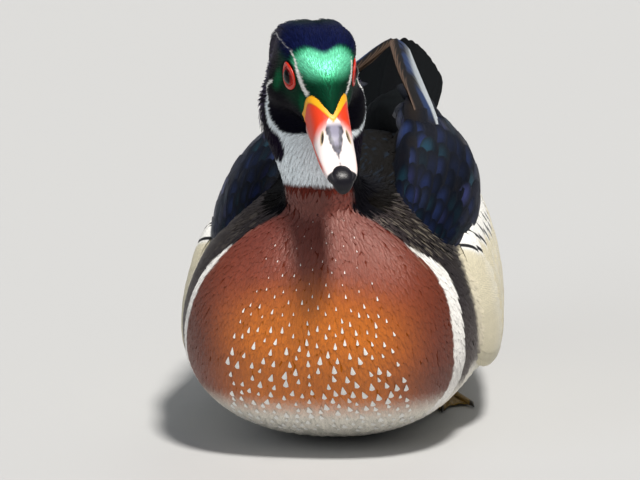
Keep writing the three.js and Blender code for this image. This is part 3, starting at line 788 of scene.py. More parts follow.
def feather_material(
    name, barbs=26.0, slant=0.5, strength=0.25, rough=0.6, specular=0.35, bars=0.0, streaks=0.3,
    edge=(1, 1, 1, 1),
):
    """Feathers: a shaft, fine slanted barbs, small changes of tone and, where asked, fine dark bars."""
    n = Nodes(name)
    gloss = n.attribute("Gloss", "Fac")
    line, barb, shaft, grain = vane_pattern(n, barbs, slant)
    patch = n.noise(120.0, 4.0)
    tone = n.total(
        0.8 - streaks / 2, (barb, 0.05), (patch, 0.4), (shaft, 0.12), (streak_pattern(n), streaks)
    )
    if bars:
        wave = n.total(0.0, (line, bars * math.tau), (n.noise(260.0, 3.0), 2.6 * math.tau))
        tone = n.maths("MULTIPLY", tone, n.ramp(n.maths("SINE", wave), (0.1, 1.0), (0.75, 0.62)))
    return n.finish(
        Base_Color=n.shaded(n.attribute("Plumage"), tone),
        Roughness=n.total(rough, (gloss, -0.3)),
        Metallic=n.maths("MULTIPLY", gloss, FEATHER_METAL),
        Normal=n.bump(n.total(0.0, (barb, 0.5), (shaft, 1.5), (grain, 1.2)), strength, 0.0002),
        Specular_IOR_Level=specular,
        Specular_Tint=edge,
    )


def skin_material():
    n = Nodes("under_plumage")
    down = n.noise(700.0, 5.0)
    return n.finish(
        Base_Color=n.shaded(n.attribute("Plumage"), n.ramp(down, (0.3, 0.65), (0.7, 0.95))),
        Roughness=0.8,
        Specular_IOR_Level=0.05,
        Normal=n.bump(down, 0.4, 0.0004),
    )


# Skin


def coat_depth(p):
    """How deep the coat is at places on the bird."""
    neck = ramp(102, 118, p[:, 2]) * ramp(-70, -85, p[:, 1])
    head = head_share(p, -34, -24)
    face = ramp(2, -6, in_head(p)[:, 1])
    breast = ramp(-70, -96, p[:, 1])
    body = (1.6 - 1.1 * breast) * (1 - neck) + 0.8 * neck
    return body * (1 - head) + (0.75 - 0.3 * face) * head


FLANK_CORE = 0.86  # how far along a flank its core reaches


def skin_forms():
    """The forms that the skin grows over."""
    forms = [form(trunk_surface, 60, 72), form(neck_surface, 36, 48)]
    forms += [form(headed(skull_surface), 40, 56), form(headed(forehead_surface), 20, 32)]
    core = first_part(flank_surface, FLANK_CORE)
    for side, _ in SIDES:
        forms += [form(beside(core, side), 40, 40), form(beside(wing_surface, side), 40, 40)]
    nape = first_part(crest_surface, CREST_CORE)
    return forms + [form(tail_surface, 24, 32), form(headed(nape), 30, 40)]


def evened(piece):
    """Joins the forms of a piece into one smooth skin."""
    facing_out(piece)
    remesh = piece.modifiers.new("even", "REMESH")
    remesh.mode = "VOXEL"
    remesh.voxel_size = SKIN_VOXEL * MM
    smooth = piece.modifiers.new("smooth", "SMOOTH")
    smooth.factor = 0.5
    smooth.iterations = SKIN_SMOOTHING
    applied(piece)


def make_skin():
    skin = object_of("skin", mesh_of("skin", skin_forms()))
    evened(skin)
    mesh = skin.data
    points = vectors(mesh, "co") / MM
    points = points - vectors(mesh, "normal") * coat_depth(points)[:, None]
    points[:, 2] = np.maximum(points[:, 2], SKIN_CLEAR)
    mesh.vertices.foreach_set("co", (points * MM).astype(np.float32).ravel())
    mesh.update()
    add_paint(mesh, *markings(points))
    mesh.materials.append(skin_material())
    mesh.shade_smooth()
    return skin


def add_value(mesh, name, values):
    """Keeps a value for each point of a mesh."""
    values = np.broadcast_to(values, len(mesh.vertices)).astype(np.float32)
    mesh.attributes.new(name, "FLOAT", "POINT").data.foreach_set("value", values)


def add_paint(mesh, paint, gloss=0.0):
    """Keeps a colour and a gloss for each point of a mesh."""
    full = np.ones((len(mesh.vertices), 4), np.float32)
    full[:, :3] = np.clip(paint, 0, 1)
    mesh.color_attributes.new("Plumage", "FLOAT_COLOR", "POINT").data.foreach_set("color", full.ravel())
    add_value(mesh, "Gloss", gloss)


# Feathers

# Outlines of vanes: steps along them, and the share of the half width at each step
LEAF = ([0, 0.3, 0.6, 0.82, 0.95, 1], [0.5, 0.9, 1.0, 0.82, 0.45, 0.05])
POINTED = ([0, 0.3, 0.6, 0.85, 1], [0.7, 1.0, 0.8, 0.4, 0.04])
SPOT = ([0, 0.3, 0.65, 0.9, 1], [0.1, 0.45, 0.85, 1.0, 0.3])
QUILL = (
    [0, 0.12, 0.3, 0.5, 0.7, 0.85, 0.94, 0.98, 1],
    [0.35, 0.7, 0.92, 1.0, 0.98, 0.86, 0.6, 0.36, 0.08],
)
ROUND_END = (
    [0, 0.15, 0.35, 0.55, 0.72, 0.84, 0.92, 0.97, 1],
    [0.35, 0.72, 0.95, 1, 0.97, 0.86, 0.66, 0.42, 0.12],
)
BAKE_PATCH = 0.003  # size of one tuft's patch on the bake map
COAT_LIMIT = 180000  # triangles in one piece of the coat


def vane_faces(rows, columns):
    """The faces of one closed vane: rings of points, first over the top and then back below."""
    ring = 2 * (columns - 1)
    under = [0] + list(range(ring - 1, columns - 1, -1)) + [columns - 1]
    faces = grid(rows, ring, closed_columns=True)
    for start, turned in ((0, 1), ((rows - 1) * ring, -1)):
        for j in range(columns - 1):
            cap = tuple(start + i for i in dict.fromkeys((j, under[j], under[j + 1], j + 1)))
            faces.append(cap[::turned])
    return faces


def vane_shading(centres, normals, along, across, heights, slope, lit):
    """Shading normals that round over each vane and lean to the surface that it lies on."""
    own = unit(np.cross(across, along))
    own = np.where(dot(own, normals)[..., None] < 0, -own, own)
    run = np.linalg.norm(np.gradient(centres, axis=1), axis=-1)
    climb = np.gradient(heights, axis=1) / np.maximum(run, 0.05)
    facing = unit(normals * lit + (own - along * climb[..., None]) * (1 - lit))
    return unit(facing[:, :, None] + across[:, :, None] * slope)


def vanes(
    centres, normals, steps, widths, heights, thick, columns=3, camber=0.12, tilt=0.0, lit=0.5, stiff=0.0
):
    """Closed vanes along rows of centres, each of shape (count, rows, 3).

    The widths are half widths in millimetres for each vane and row, and lit is how far the shading
    normals lean to the surface that the vanes lie on.
    """
    count, rows = centres.shape[:2]
    along = unit(unit(np.gradient(centres, axis=1)) + stiff * unit(centres[:, -1:] - centres[:, :1]))
    across = unit(np.cross(along, normals))
    x = np.linspace(-1, 1, columns)
    camber = np.broadcast_to(camber, (count, rows))[..., None]
    tilt = np.broadcast_to(tilt, count)[:, None, None]
    reach = widths[..., None] * x
    fall = -camber * widths[..., None] * x**2 + tilt * reach
    body = thick * (1 - x**2) / 2
    base = centres[:, :, None] + across[:, :, None] * reach[..., None]
    upper, lower = (
        base + normals[:, :, None] * (heights[..., None] + fall + rise)[..., None]
        for rise in (body, -body)
    )
    inner = slice(columns - 2, 0, -1)
    ring = np.concatenate([x, x[inner]])
    place = stacked(ring / 2 + 0.5, np.asarray(steps, float)[:, None])
    slope = (2 * camber * ring - tilt)[..., None]
    group = {
        "points": np.concatenate([upper, lower[:, :, inner]], axis=2).reshape(-1, 3),
        "vane": np.broadcast_to(place, (count, rows, len(ring), 2)).reshape(-1, 2),
        "shading": vane_shading(centres, normals, along, across, heights, slope, lit).reshape(-1, 3),
        "each": np.repeat(np.arange(count), rows * len(ring)),
        "count": count,
    }
    start = (np.arange(count) * rows * len(ring))[:, None, None]
    for kind, corners in (("quads", 4), ("tris", 3)):
        faces = np.array([face for face in vane_faces(rows, columns) if len(face) == corners])
        group[kind] = (faces + start).reshape(-1, corners)
    return group


def each_along(values, count, profile):
    """A value for each vane, or one for all, times a profile along it."""
    return np.broadcast_to(values, count)[:, None] * np.asarray(profile)


def painted(group, paint, gloss):
    """Gives vanes a colour and a gloss, for each of their points or one for all."""
    group["paint"] = np.broadcast_to(paint, group["points"].shape)
    group["gloss"] = np.broadcast_to(gloss, len(group["points"]))
    return group


def mapped(group, roots):
    """Gives each vane its own small patch of the bake map, about its root's place on it."""
    group["bake"] = roots[group["each"]] + BAKE_PATCH * (group["vane"] - 0.5)
    return group


def atlas(groups):
    """Gives each large vane of a piece a cell of its own on the bake map."""
    total = sum(g["count"] for g in groups)
    side = math.ceil(math.sqrt(total))
    start = 0
    for g in groups:
        cell = start + g["each"]
        corner = np.stack([cell % side, cell // side], -1)
        g["bake"] = (corner + 0.06 + 0.88 * g["vane"]) / side
        start += g["count"]
    return groups


def joined(groups, key):
    return np.concatenate([group[key] for group in groups])


def vane_mesh(name, groups):
    """One mesh in metres of all the vanes in some groups."""
    points = joined(groups, "points")
    points[:, 2] = np.maximum(points[:, 2], FLOOR_CLEAR)
    starts = np.cumsum([0] + [len(group["points"]) for group in groups])
    quads, tris = (
        np.vstack([group[kind] + start for group, start in zip(groups, starts)])
        for kind in ("quads", "tris")
    )
    corners = np.concatenate([quads.ravel(), tris.ravel()]).astype(np.int32)
    sizes = np.repeat([4, 3], [len(quads), len(tris)])
    mesh = bpy.data.meshes.new(name)
    mesh.vertices.add(len(points))
    mesh.vertices.foreach_set("co", (points * MM).astype(np.float32).ravel())
    mesh.loops.add(len(corners))
    mesh.loops.foreach_set("vertex_index", corners)
    mesh.polygons.add(len(sizes))
    mesh.polygons.foreach_set("loop_start", (np.cumsum(sizes) - sizes).astype(np.int32))
    mesh.update(calc_edges=True)
    for layer, key in (("Vane", "vane"), ("OFBake", "bake")):
        flat = joined(groups, key)[corners].astype(np.float32)
        mesh.uv_layers.new(name=layer).uv.foreach_set("vector", flat.ravel())
    add_paint(mesh, joined(groups, "paint"), joined(groups, "gloss"))
    mesh.shade_smooth()
    mesh.normals_split_custom_set_from_vertices(joined(groups, "shading").tolist())
    return mesh


def settled(name, mesh, material, slot, *replaced):
    """Makes a mesh one piece of the bird, in place of the solids that it replaces."""
    mesh.materials.append(material)
    piece = object_of(name, mesh)
    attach(piece, "root")
    if replaced:
        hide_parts(*replaced)


def plumage(name, groups, material, slot, *replaced):
    """One piece of joined vanes."""
    settled(name, vane_mesh(name, groups), material, slot, *replaced)


# The coat on the skin

NAPE_AT = np.array([0, -104, 112.0])


def lie(p, normals):
    """The way that the coat lies at places on the bird."""
    x, y, z = p.T
    local = in_head(p)
    trunk = mix([0, 1, 0], unit(p - NAPE_AT), ramp(-55, -108, y) * 0.9)
    down = unit(stacked(0.15 * np.sign(x), 0.25, -1.0))
    way = mix(trunk, down, ramp(108, 120, z) * ramp(-70, -80, y))
    drop = -0.25 - 0.02 * np.maximum(local[:, 1], 0) - 0.5 * ramp(-8, -22, local[:, 2])
    way = mix(way, unit(stacked(0.0, 1.0, drop)) @ HEAD_TURN.T, head_share(p, -36, -24))
    return unit(way - normals * dot(way, normals)[:, None])


def fringe(local):
    """1 on the bristly edge behind the cheek, on the head."""
    return ramp(13, 17, local[:, 1]) * ramp(30, 24, local[:, 1]) * ramp(-2, -8, local[:, 2])


def glints(p):
    """1 where the shoulders have painted pale, hair-like glints: painted highlights, weaker on the bird's right
    side, away from the light.
    """
    y, z = p[:, 1], p[:, 2]
    near = ramp(-126, -118, y) * ramp(-74, -94, y) * ramp(80, 86, z) * ramp(108, 103, z)
    return near * ramp(14, 22, np.abs(p[:, 0])) * np.where(p[:, 0] > 0, 1.0, 0.3)


COAT_SEED, SPOT_SEED = 5, 9
TRIES = 4.5  # places tried for each square of the spacing
# Length, half width and spacing of the coat's feathers
BODY_TUFT = [14.0, 2.5, 3.0]
BREAST_TUFT = [9.0, 1.05, 1.09]
GLINT_TUFT = [9.0, 0.6, 1.2]
BELLY_TUFT = [14, 3.2, 3.9]
SHOULDER_TUFT = [12.0, 0.9, 1.7]
NECK_TUFT = [6.5, 0.9, 1.15]
HEAD_TUFT = [4.6, 0.46, 0.76]
FRINGE_TUFT = [7.0, 0.34, 0.74]
FACE_TUFT = [3.0, 0.38, 0.66]


def tuft_size(p):
    """Length, half width and spacing of the coat's feathers at places on the bird."""
    y, z = p[:, 1], p[:, 2]
    local = in_head(p)
    breast = ramp(-70, -96, y)
    head = head_share(p, -36, -26)
    return layered(
        BODY_TUFT,
        (BREAST_TUFT, breast),
        (GLINT_TUFT, ramp(0.3, 0.8, glints(p))),
        (BELLY_TUFT, ramp(24, 10, z)),
        (SHOULDER_TUFT, ramp(-52, -66, y) * ramp(78, 90, z) * (1 - breast)),
        (NECK_TUFT, ramp(104, 120, z) * ramp(-70, -82, y)),
        (HEAD_TUFT, head),
        (FRINGE_TUFT, fringe(local) * head),
        (FACE_TUFT, head * ramp(6, -8, local[:, 1])),
    )


def thinned(places, gaps):
    """The places that are left when each one in turn clears its gap of those after it."""
    tree = KDTree(len(places))
    for i, place in enumerate(places):
        tree.insert(place, i)
    tree.balance()
    alive = np.ones(len(places), bool)
    for i in range(len(places)):
        if alive[i]:
            for _, j, _ in tree.find_range(places[i], gaps[i]):
                if j > i:
                    alive[j] = False
    return places[alive]


def scattered(points, triangles, spacing_at, seed):
    """Places spread over a mesh, no two nearer than the spacing there."""
    rng = np.random.default_rng(seed)
    a, b, c = (points[triangles[:, k]] for k in range(3))
    area = np.linalg.norm(np.cross(b - a, c - a), axis=1) / 2
    spacing = spacing_at((a + b + c) / 3)
    expected = np.where(spacing > 0, area / np.maximum(spacing, 0.1) ** 2 * TRIES, 0)
    owner = np.repeat(np.arange(len(triangles)), rng.poisson(expected))
    r, s = rng.random((2, len(owner)))
    fold = r + s > 1
    r, s = np.where(fold, 1 - r, r), np.where(fold, 1 - s, s)
    places = a[owner] + (b - a)[owner] * r[:, None] + (c - a)[owner] * s[:, None]
    order = rng.permutation(len(places))
    return thinned(places[order], spacing[owner[order]])


def walked(tree, roots, normals, lengths, steps):
    """Rows of places from the roots along the lie of the coat, held to the surface."""
    here, up = roots, normals
    centres, ups = [here], [up]
    astray = jitter(len(roots), 0.16)[:, None]
    for last, step in zip(steps, steps[1:]):
        way = lie(here, up)
        way = unit(way + np.cross(up, way) * astray)
        here, up, _ = nearest(tree, here + way * (lengths * (step - last))[:, None])
        centres.append(here)
        ups.append(up)
    return np.stack(centres, 1), np.stack(ups, 1)


def coat_roots(points, triangles):
    """Where the coat's feathers grow: not on bill, eyes, wings and tail, and not at the floor."""
    roots = scattered(points, triangles, lambda p: tuft_size(p)[:, 2], COAT_SEED)
    local = in_head(roots)
    eyes = (np.hypot(local[:, 1], local[:, 2]) < LID_RING + 0.9) & (np.abs(local[:, 0]) > 8)
    keep = ~eyes & (roots[:, 2] > ROOT_CLEAR)
    # Surfaces with the size of their forms, and how deep in them a feather may still grow
    covers = [(headed(surface), 24, 28, 0.1) for surface in (upper_surface, lower_surface)]
    covers += [(beside(wing_surface, side), 24, 24, 2.5) for side, _ in SIDES]
    covers += [(tail_surface, 12, 20, 1.5)]
    for surface, count, around, depth in covers:
        keep &= nearest(tree_of(*form(surface, count, around)), roots)[2] > -depth
    return roots[keep]


def coat_regions(roots):
    """Which roots are on the head, the neck, the breast and the rest of the body."""
    _, y, z = roots.T
    local = in_head(roots)
    head = (local[:, 2] > -33 + 0.1 * (5 - local[:, 1])) & (z > 118)
    neck = ~head & (z > 106) & (y < -74) & ((z > 117) | (y > -118))
    breast = ~head & ~neck & (y < -84)
    return head, neck, breast, ~(head | neck | breast)


def coat(skin):
    """The feathers of the head, neck and body, with the white spots of the breast."""
    points, triangles = corners_of(skin.data)
    tree = tree_of(points, triangles)
    roots = coat_roots(points, triangles)
    normals = nearest(tree, roots)[1]
    plain = feather_material("body_feathers", rough=0.5, specular=0.0)
    satin = feather_material("breast_feathers", rough=0.4, specular=0.8, streaks=0.8, edge=WARM_EDGE)
    silky = feather_material(
        "head_feathers", barbs=5.0, slant=0.2, strength=0.2, rough=0.56, specular=0.04, streaks=0.7,
        edge=DARK_EDGE,
    )
    kinds = [
        ("head_coat_", POINTED, silky, "head_feathers", unwrap_head),
        ("neck_coat_", POINTED, silky, "neck_feathers", unwrap_neck),
        ("breast_coat_", LEAF, satin, "body_feathers", unwrap_trunk),
        ("body_coat_", LEAF, plain, "body_feathers", unwrap_trunk),
    ]
    for chosen, (name, outline, material, slot, unwrap) in zip(coat_regions(roots), kinds):
        here, up = roots[chosen], normals[chosen]
        triangles_each = 8 * (len(outline[0]) - 1) + 4
        pieces = math.ceil(len(here) * triangles_each / COAT_LIMIT)
        for k, share in enumerate(np.array_split(np.argsort(here[:, 1]), pieces)):
            group = tufts(tree, here[share], up[share], outline, unwrap)
            plumage(name + str(k + 1), [group], material, slot)
    plumage("breast_spots", [breast_spots(tree, points, triangles)], plain, "body_feathers")


def tuft_paint(group, roots, shown, bristly):
    """Paints tufts with the markings about the places shown and with painted shade towards their roots, then with
    painted glints and pale bristles.
    """
    each, (u, v) = group["each"], group["vane"].T
    own = 0.3 + 0.45 * (roots[:, 2] > HEAD_FROM)[each][:, None]
    paint, gloss = markings(group["points"] * own + shown[each] * (1 - own))
    luck = RNG.uniform(0, 1, len(roots))
    vary = 0.1 + 0.18 * ramp(0.52, 0.6, gloss)
    # each tuft a random tone, with painted shade darkening it towards its root, where it lies under the others
    shade = (1 + vary * (2 * luck[each] - 1)) * (0.88 + 0.15 * v)
    middle = ramp(0.5, 0.0, np.abs(u - 0.5))
    # painted highlights: pale glints along the middle of some shoulder tufts
    pale = glints(roots) * ramp(0.7, 0.95, luck)
    # painted highlights: blue glints on some tufts of the back
    back = ramp(84, 94, roots[:, 2]) * ramp(-96, -80, roots[:, 1]) * (roots[:, 2] < 125)
    blue_glint = back * ramp(0.6, 1.0, luck)
    tips = bristly * ramp(0.35, 0.75, luck)
    paint = layered(
        paint * shade[:, None],
        (BRONZE_GLINT, pale[each] * middle * 0.75),
        (BACK_BLUE_GLINT, blue_glint[each] * middle * 0.7),
        (FRINGE_TIP, tips[each] * ramp(0.45, 1.0, v) * 0.85),
    )
    return painted(group, paint, gloss)


def tufts(tree, roots, normals, outline, unwrap):
    """The feathers that grow at the roots, painted with the markings where their tips lie."""
    steps, profile = outline
    size = tuft_size(roots)
    length, half = (size[:, k] * RNG.uniform(0.8, 1.2, len(roots)) for k in (0, 1))
    centres, ups = walked(tree, roots, normals, length, steps)
    chord = np.linalg.norm(centres[:, -1] - centres[:, 0], axis=-1)
    even = (chord > 0.6 * length) & (dot(ups[:, 0], ups[:, -1]) > 0.3)
    centres, ups, roots, half = centres[even], ups[even], roots[even], half[even]
    ups = unit(ups + 1.5 * ups.mean(1, keepdims=True))
    bristly = fringe(in_head(roots)) * (roots[:, 2] > FRINGE_FROM)
    lift = coat_depth(roots) * RNG.uniform(0.85, 1.0, len(roots)) + 0.15
    lift = lift + bristly * RNG.uniform(0.6, 2.0, len(roots))
    heights = -0.3 + each_along(lift, len(roots), np.asarray(steps) ** 0.9)
    widths = each_along(half, len(roots), profile)
    group = vanes(centres, ups, steps, widths, heights, 0.1, lit=0.9, stiff=1)
    return mapped(tuft_paint(group, roots, centres[:, -3], bristly), unwrap(roots))


def spot_spacing(p):
    """How far apart the white spots are at places on the breast, and 0 where there are none."""
    x, y, z = folded(p)
    reach = np.interp(z, [12, 30, 45, 60, 80, 104], [38, 38, 36, 33, 24, 12])
    inside = (y < band_front(p[:, 0], z) - 3) & (z < 102) & (z > 12) & (x < reach)
    return np.where(inside, np.interp(z, [20, 50, 70, 84, 100], [3.8, 3.9, 3.6, 4.9, 6.0]), 0)


def breast_spots(tree, points, triangles):
    """Small white triangles on the breast, larger towards the belly."""
    roots = scattered(points, triangles, spot_spacing, SPOT_SEED)
    z = roots[:, 2]
    size = np.interp(z, [20, 42, 50, 62, 72, 84, 100], [3.6, 3.4, 3.1, 2.3, 1.7, 1.0, 0.8])
    size = size * RNG.uniform(0.6, 1.2, len(roots))
    steps, profile = SPOT
    centres, ups = walked(tree, roots, nearest(tree, roots)[1], size, steps)
    heights = each_along(coat_depth(roots) * 0.98, len(roots), np.ones(len(steps)))
    widths = each_along(size * np.interp(z, [20, 44, 64], [0.33, 0.29, 0.2]), len(roots), profile)
    group = vanes(centres, ups, steps, widths, heights, 0.12, lit=0.7)
    return mapped(painted(group, WHITE, 0.0), unwrap_trunk(roots))


def round_map(p, centre, reach):
    """A map of a rounded form by the direction from its centre, with its front end at the foot."""
    x, y, z = unit((p - np.asarray(centre)) / np.asarray(reach)).T
    return stacked(np.arctan2(x, z) / math.tau + 0.5, np.arccos(np.clip(-y, -1, 1)) / math.pi)


def unwrap_trunk(p):
    return round_map(p, (0, -4, 56), (65, 148, 58))


def unwrap_head(p):
    return round_map(in_head(p), (0, 8, -6), (16, 28, 20))


def unwrap_neck(p):
    x, y, z = p.T
    return stacked(np.arctan2(x - NECK_MIDDLE[0], NECK_MIDDLE[1] - y) / math.tau + 0.5, (z - 95) / 70)


# Large feathers

SUNK = 1.2  # how deep the root of a large feather lies


def laid(surface, start, end, steps, profile, half, lift, columns=7, tilt=0.07, thick=0.35):
    """Vanes on a surface, each from one [t, degrees] to another, sunk at the root."""
    s = np.asarray(steps, float)
    t, degrees = (start[:, k : k + 1] + (end - start)[:, k : k + 1] * s for k in (0, 1))
    t = np.clip(t, 0.002, 0.998)
    widths = each_along(half, len(start), profile)
    apart = np.linalg.norm(surface(t, degrees + 8) - surface(t, degrees - 8), axis=-1)
    bend = dot(outwards(surface, t, degrees + 8), outwards(surface, t, degrees - 8))
    turned = np.arccos(np.clip(bend, -1, 1))
    camber = np.clip(widths * turned / np.maximum(apart, 0.5) / 2, 0.04, 0.5)
    heights = -SUNK + each_along(lift + SUNK, len(start), s**0.8)
    centres, ups = surface(t, degrees), outwards(surface, t, degrees)
    return vanes(centres, ups, steps, widths, heights, thick, columns, camber, tilt, lit=0.35)


def free(curves, faces, steps, profile, half, rolls=0.0, columns=7, camber=0.06, thick=0.4):
    """Vanes along free curves of a few points each, with their upper sides towards the faces."""
    centres = np.stack([smooth_through(points, steps) for points in curves])
    along = unit(np.gradient(centres, axis=1))
    across = unit(np.cross(along, np.broadcast_to(np.reshape(faces, (-1, 1, 3)), centres.shape)))
    roll = np.radians(np.broadcast_to(rolls, len(curves)))[:, None, None]
    ups = np.cross(across, along) * np.cos(roll) + across * np.sin(roll)
    widths = each_along(half, len(curves), profile)
    return vanes(centres, ups, steps, widths, 0 * widths, thick, columns, camber, lit=0.0)


def on_side(group, side):
    """Vanes that are made for the left side, as they lie on either side."""
    if side > 0:
        return group
    u, v = group["vane"].T
    other = {**group, "vane": stacked(1 - u, v)}
    for key in ("points", "shading"):
        other[key] = mirrored(group[key], side)
    for key in ("quads", "tris"):
        other[key] = group[key][:, ::-1]
    return other


def build_sides(kind, groups, material, swing=0.0):
    """A piece of the same feathers on each side; high tips on the right swing over to the left."""
    for side, name in SIDES:
        sided = [on_side(group, side) for group in groups]
        for points in (group["points"] for group in sided if side < 0):
            points[:, 0] += swing * ramp(20, 112, points[:, 1]) * ramp(115, 121, points[:, 2])
        slot = kind + "_feathers"
        plumage(slot + "_" + name, atlas(sided), material, slot, kind + "_" + name)


def tinted(group, base, vary, gloss, tip=None, edge=None):
    """Paint for a group of feathers: the base tone, changing to its tip and to its two edges."""
    u, v = group["vane"].T
    paint = np.broadcast_to(base, group["points"].shape)
    if tip is not None:
        paint = mix(paint, tip, ramp(0.55, 0.95, v))
    if edge is not None:
        paint = mix(paint, edge, ramp(0.34, 0.46, np.abs(u - 0.5)) * ramp(0.2, 0.5, v))
    return painted(group, paint * own_shade(group, 1 - vary, 1 + vary), gloss)


def own_shade(group, low, high):
    """A random shade for each vane, at each of its points."""
    return RNG.uniform(low, high, group["count"])[group["each"]][:, None]


def jitter(count, size):
    return RNG.uniform(-size, size, count)


def tier(row, start, end, count, span):
    """Starts and ends [t, degrees] of one tier of feathers over a span of degrees, staggered by row."""
    place = (np.arange(count) + 0.5 + (0.25 if row % 2 else -0.25)) / count
    degrees = span[0] + (span[1] - span[0]) * place
    last = stacked(end + jitter(count, 0.012), degrees + jitter(count, 1.5))
    return stacked(float(start), degrees), last


# Wings

WING_DARK = colour(0x0A0F1C)
# Tones of the painted glints, highlights painted on the wing feathers
WING_BLUE_GLINT = colour(0x34487E)
WING_TEAL_GLINT = colour(0x2A5C6C)
WING_BRONZE_GLINT = colour(0x2E241A)
WING_LAVENDER_GLINT = colour(0x5C64A8)
DUSKY = colour(0x231E1B)
DUSKY_EDGE = colour(0x6E5A4C)
SILVER = colour(0xB9BFC2)
# painted sheen: the steel blue of the primaries' blotches
STEEL_SHEEN = colour(0x26375A)

PRIMARY_LINE = [
    [38, -24, 104],
    [35, -8, 111],
    [28, 22, 117],
    [16, 62, 124.2],
    [7, 97, 131.2],
    [3, 112, 133.6],
]
PRIMARY_SWING = 3.3  # how far the tips on the right wing reach over to the left
PRIMARY_FACE = unit(np.array([0.32, -0.1, 0.94]))
PRIMARIES = 9
WING_SPAN = [14, 166]
# Start and end along the wing, number, half width
WING_TIERS = [
    (0.06, 0.22, 13, 2.8),
    (0.12, 0.29, 13, 3.1),
    (0.18, 0.36, 12, 3.4),
    (0.24, 0.43, 11, 3.8),
    (0.31, 0.51, 10, 4.2),
    (0.38, 0.60, 10, 4.5),
    (0.46, 0.69, 9, 4.8),
    (0.55, 0.79, 8, 5.0),
    (0.64, 0.88, 7, 5.0),
    (0.73, 0.97, 6, 4.8),
]

# Fans of long feathers on the wing: the first one's line, the step from each to the next, how many,
# how far the first faces out and how much more each next one does, half width and camber
WING_FANS = [
    (
        [[27, 12, 109.4], [24, 36, 118.2], [17, 62, 119.2], [11, 86, 118.7]],
        [[3.4, -3, -1.5], [3.4, -3, -1.9], [2.72, -4, -1.9], [2.38, -5, -1.6]],
        5, (0.25, 0.13), 7.4, 0.1,
    ),
    (
        [[28, -34, 107], [26.5, -10, 115.5], [23.5, 14, 121.5], [19.5, 38, 124]],
        [[3.1, -3, -1.2], [3.1, -3, -1.5], [3.1, -4, -2.0], [2.79, -6, -2.4]],
        7, (0.1, 0.1), 5.2, 0.12,
    ),
]


def primaries():
    """The long flight feathers, stacked and spread at their tips."""
    curves = []
    for i in range(PRIMARIES):
        shift = PRIMARY_FACE * (0.72 * i) + np.array([-0.6 * i, 0, 0])
        share = np.linspace(0, 1, 6) * (1 - 0.055 * i)
        fanned = 0.1 + 0.9 * ramp(0, 0.45, share)
        curves.append(smooth_through(PRIMARY_LINE, share) + shift * fanned[:, None])
    sizes = 5.4 - 0.1 * np.arange(PRIMARIES)
    return painted_primaries(free(curves, PRIMARY_FACE, *QUILL, sizes, columns=9, thick=0.35))


def wing_feathers():
    groups = []
    for row, (start, end, count, half) in enumerate(WING_TIERS):
        first, last = tier(row, start, end, count, WING_SPAN)
        size = half * RNG.uniform(0.92, 1.08, count)
        lift = RNG.uniform(1.3, 2.2, count) * min(1.0, 0.45 + 0.2 * row) + 0.12 * row
        lean = 0.08 + jitter(count, 0.1)
        group = laid(wing_surface, first, last, *ROUND_END, size, lift, tilt=lean, thick=0.25)
        groups.append(glossy_black(group))
    groups.append(primaries())
    for line, step, count, face, half, camber in WING_FANS:
        curves = [np.add(line, np.multiply(step, i)) for i in range(count)]
        faces = [[face[0] + face[1] * i, 0, 1] for i in range(count)]
        group = free(curves, faces, *ROUND_END, half, columns=9, camber=camber)
        groups.append(glossy_black(group))
    return groups


def glossy_black(group):
    """Black feathers, some of them with a painted blue, lavender, teal or bronzy glint before the tip: painted
    highlights, strongest high on the wing.
    """
    u, v = group["vane"].T
    hue, luck, place = (RNG.uniform(0, 1, group["count"])[group["each"]] for _ in range(3))
    glint_tone = layered(
        WING_BRONZE_GLINT,
        (WING_BLUE_GLINT, ramp(0.2, 0.25, hue)),
        (WING_LAVENDER_GLINT, ramp(0.55, 0.6, hue)),
        (WING_TEAL_GLINT, ramp(0.75, 0.8, hue)),
    )
    # the painted highlights are strongest high on the wing and behind its front
    back = ramp(-60, -10, group["points"][:, 1]) * ramp(82, 98, group["points"][:, 2])
    spread = ramp(0.35, 0.0, np.abs(v - 0.68)) * ramp(0.5, 0.05, np.abs(u - 0.3 - 0.4 * place))
    glint = spread * (0.12 + (0.2 + 0.68 * back) * ramp(0.2, 0.9, luck))
    rim = ramp(0.42, 0.49, np.abs(u - 0.5))
    return painted(group, layered(WING_DARK, (glint_tone, glint), (DUSKY * 0.35, rim * 0.5)), 0.75 - 0.4 * rim)


def painted_primaries(group):
    """Dusky vanes with thin silvery outer edges and blotches of steel blue, a sheen painted into the colour."""
    u, v = group["vane"].T
    sheen_blotch = 0.5 + 0.5 * np.sin(23 * v + 5 * np.sin(9 * v + group["each"]))
    paint = layered(
        DUSKY * 0.45,
        (STEEL_SHEEN, ramp(0.3, 0.5, v) * ramp(0.5, 0.66, u) * ramp(0.25, 0.7, sheen_blotch)),
        (DUSKY_EDGE, ramp(0.09, 0.04, u) * ramp(0.3, 0.45, v)),
        (SILVER, ramp(0.9, 0.935, u) * ramp(0.2, 0.35, v) * ramp(1.0, 0.85, v)),
    )
    return painted(group, paint, 0.4)


# Flanks

FLANK_SPAN = [20, 158]
FLANK_TIERS = [
    (0.14, 0.30, 12, 4.2),
    (0.22, 0.39, 12, 4.4),
    (0.30, 0.48, 11, 4.7),
    (0.38, 0.57, 10, 5.0),
    (0.46, 0.67, 9, 5.2),
    (0.55, 0.77, 8, 5.4),
    (0.64, 0.87, 7, 5.4),
    (0.72, 0.96, 6, 5.4),
]
BARRED = (
    [0, 0.2, 0.4, 0.52, 0.6, 0.615, 0.67, 0.685, 0.78, 0.88, 0.945, 0.955, 0.985, 1],
    [0.35, 0.75, 0.92, 0.98, 1, 1, 1, 1, 0.94, 0.78, 0.52, 0.46, 0.26, 0.08],
)
BARRED_COUNT = 10
BLACK_BAR = (0.607, 0.678)  # shares of the length
BLACK_RIM = 0.95


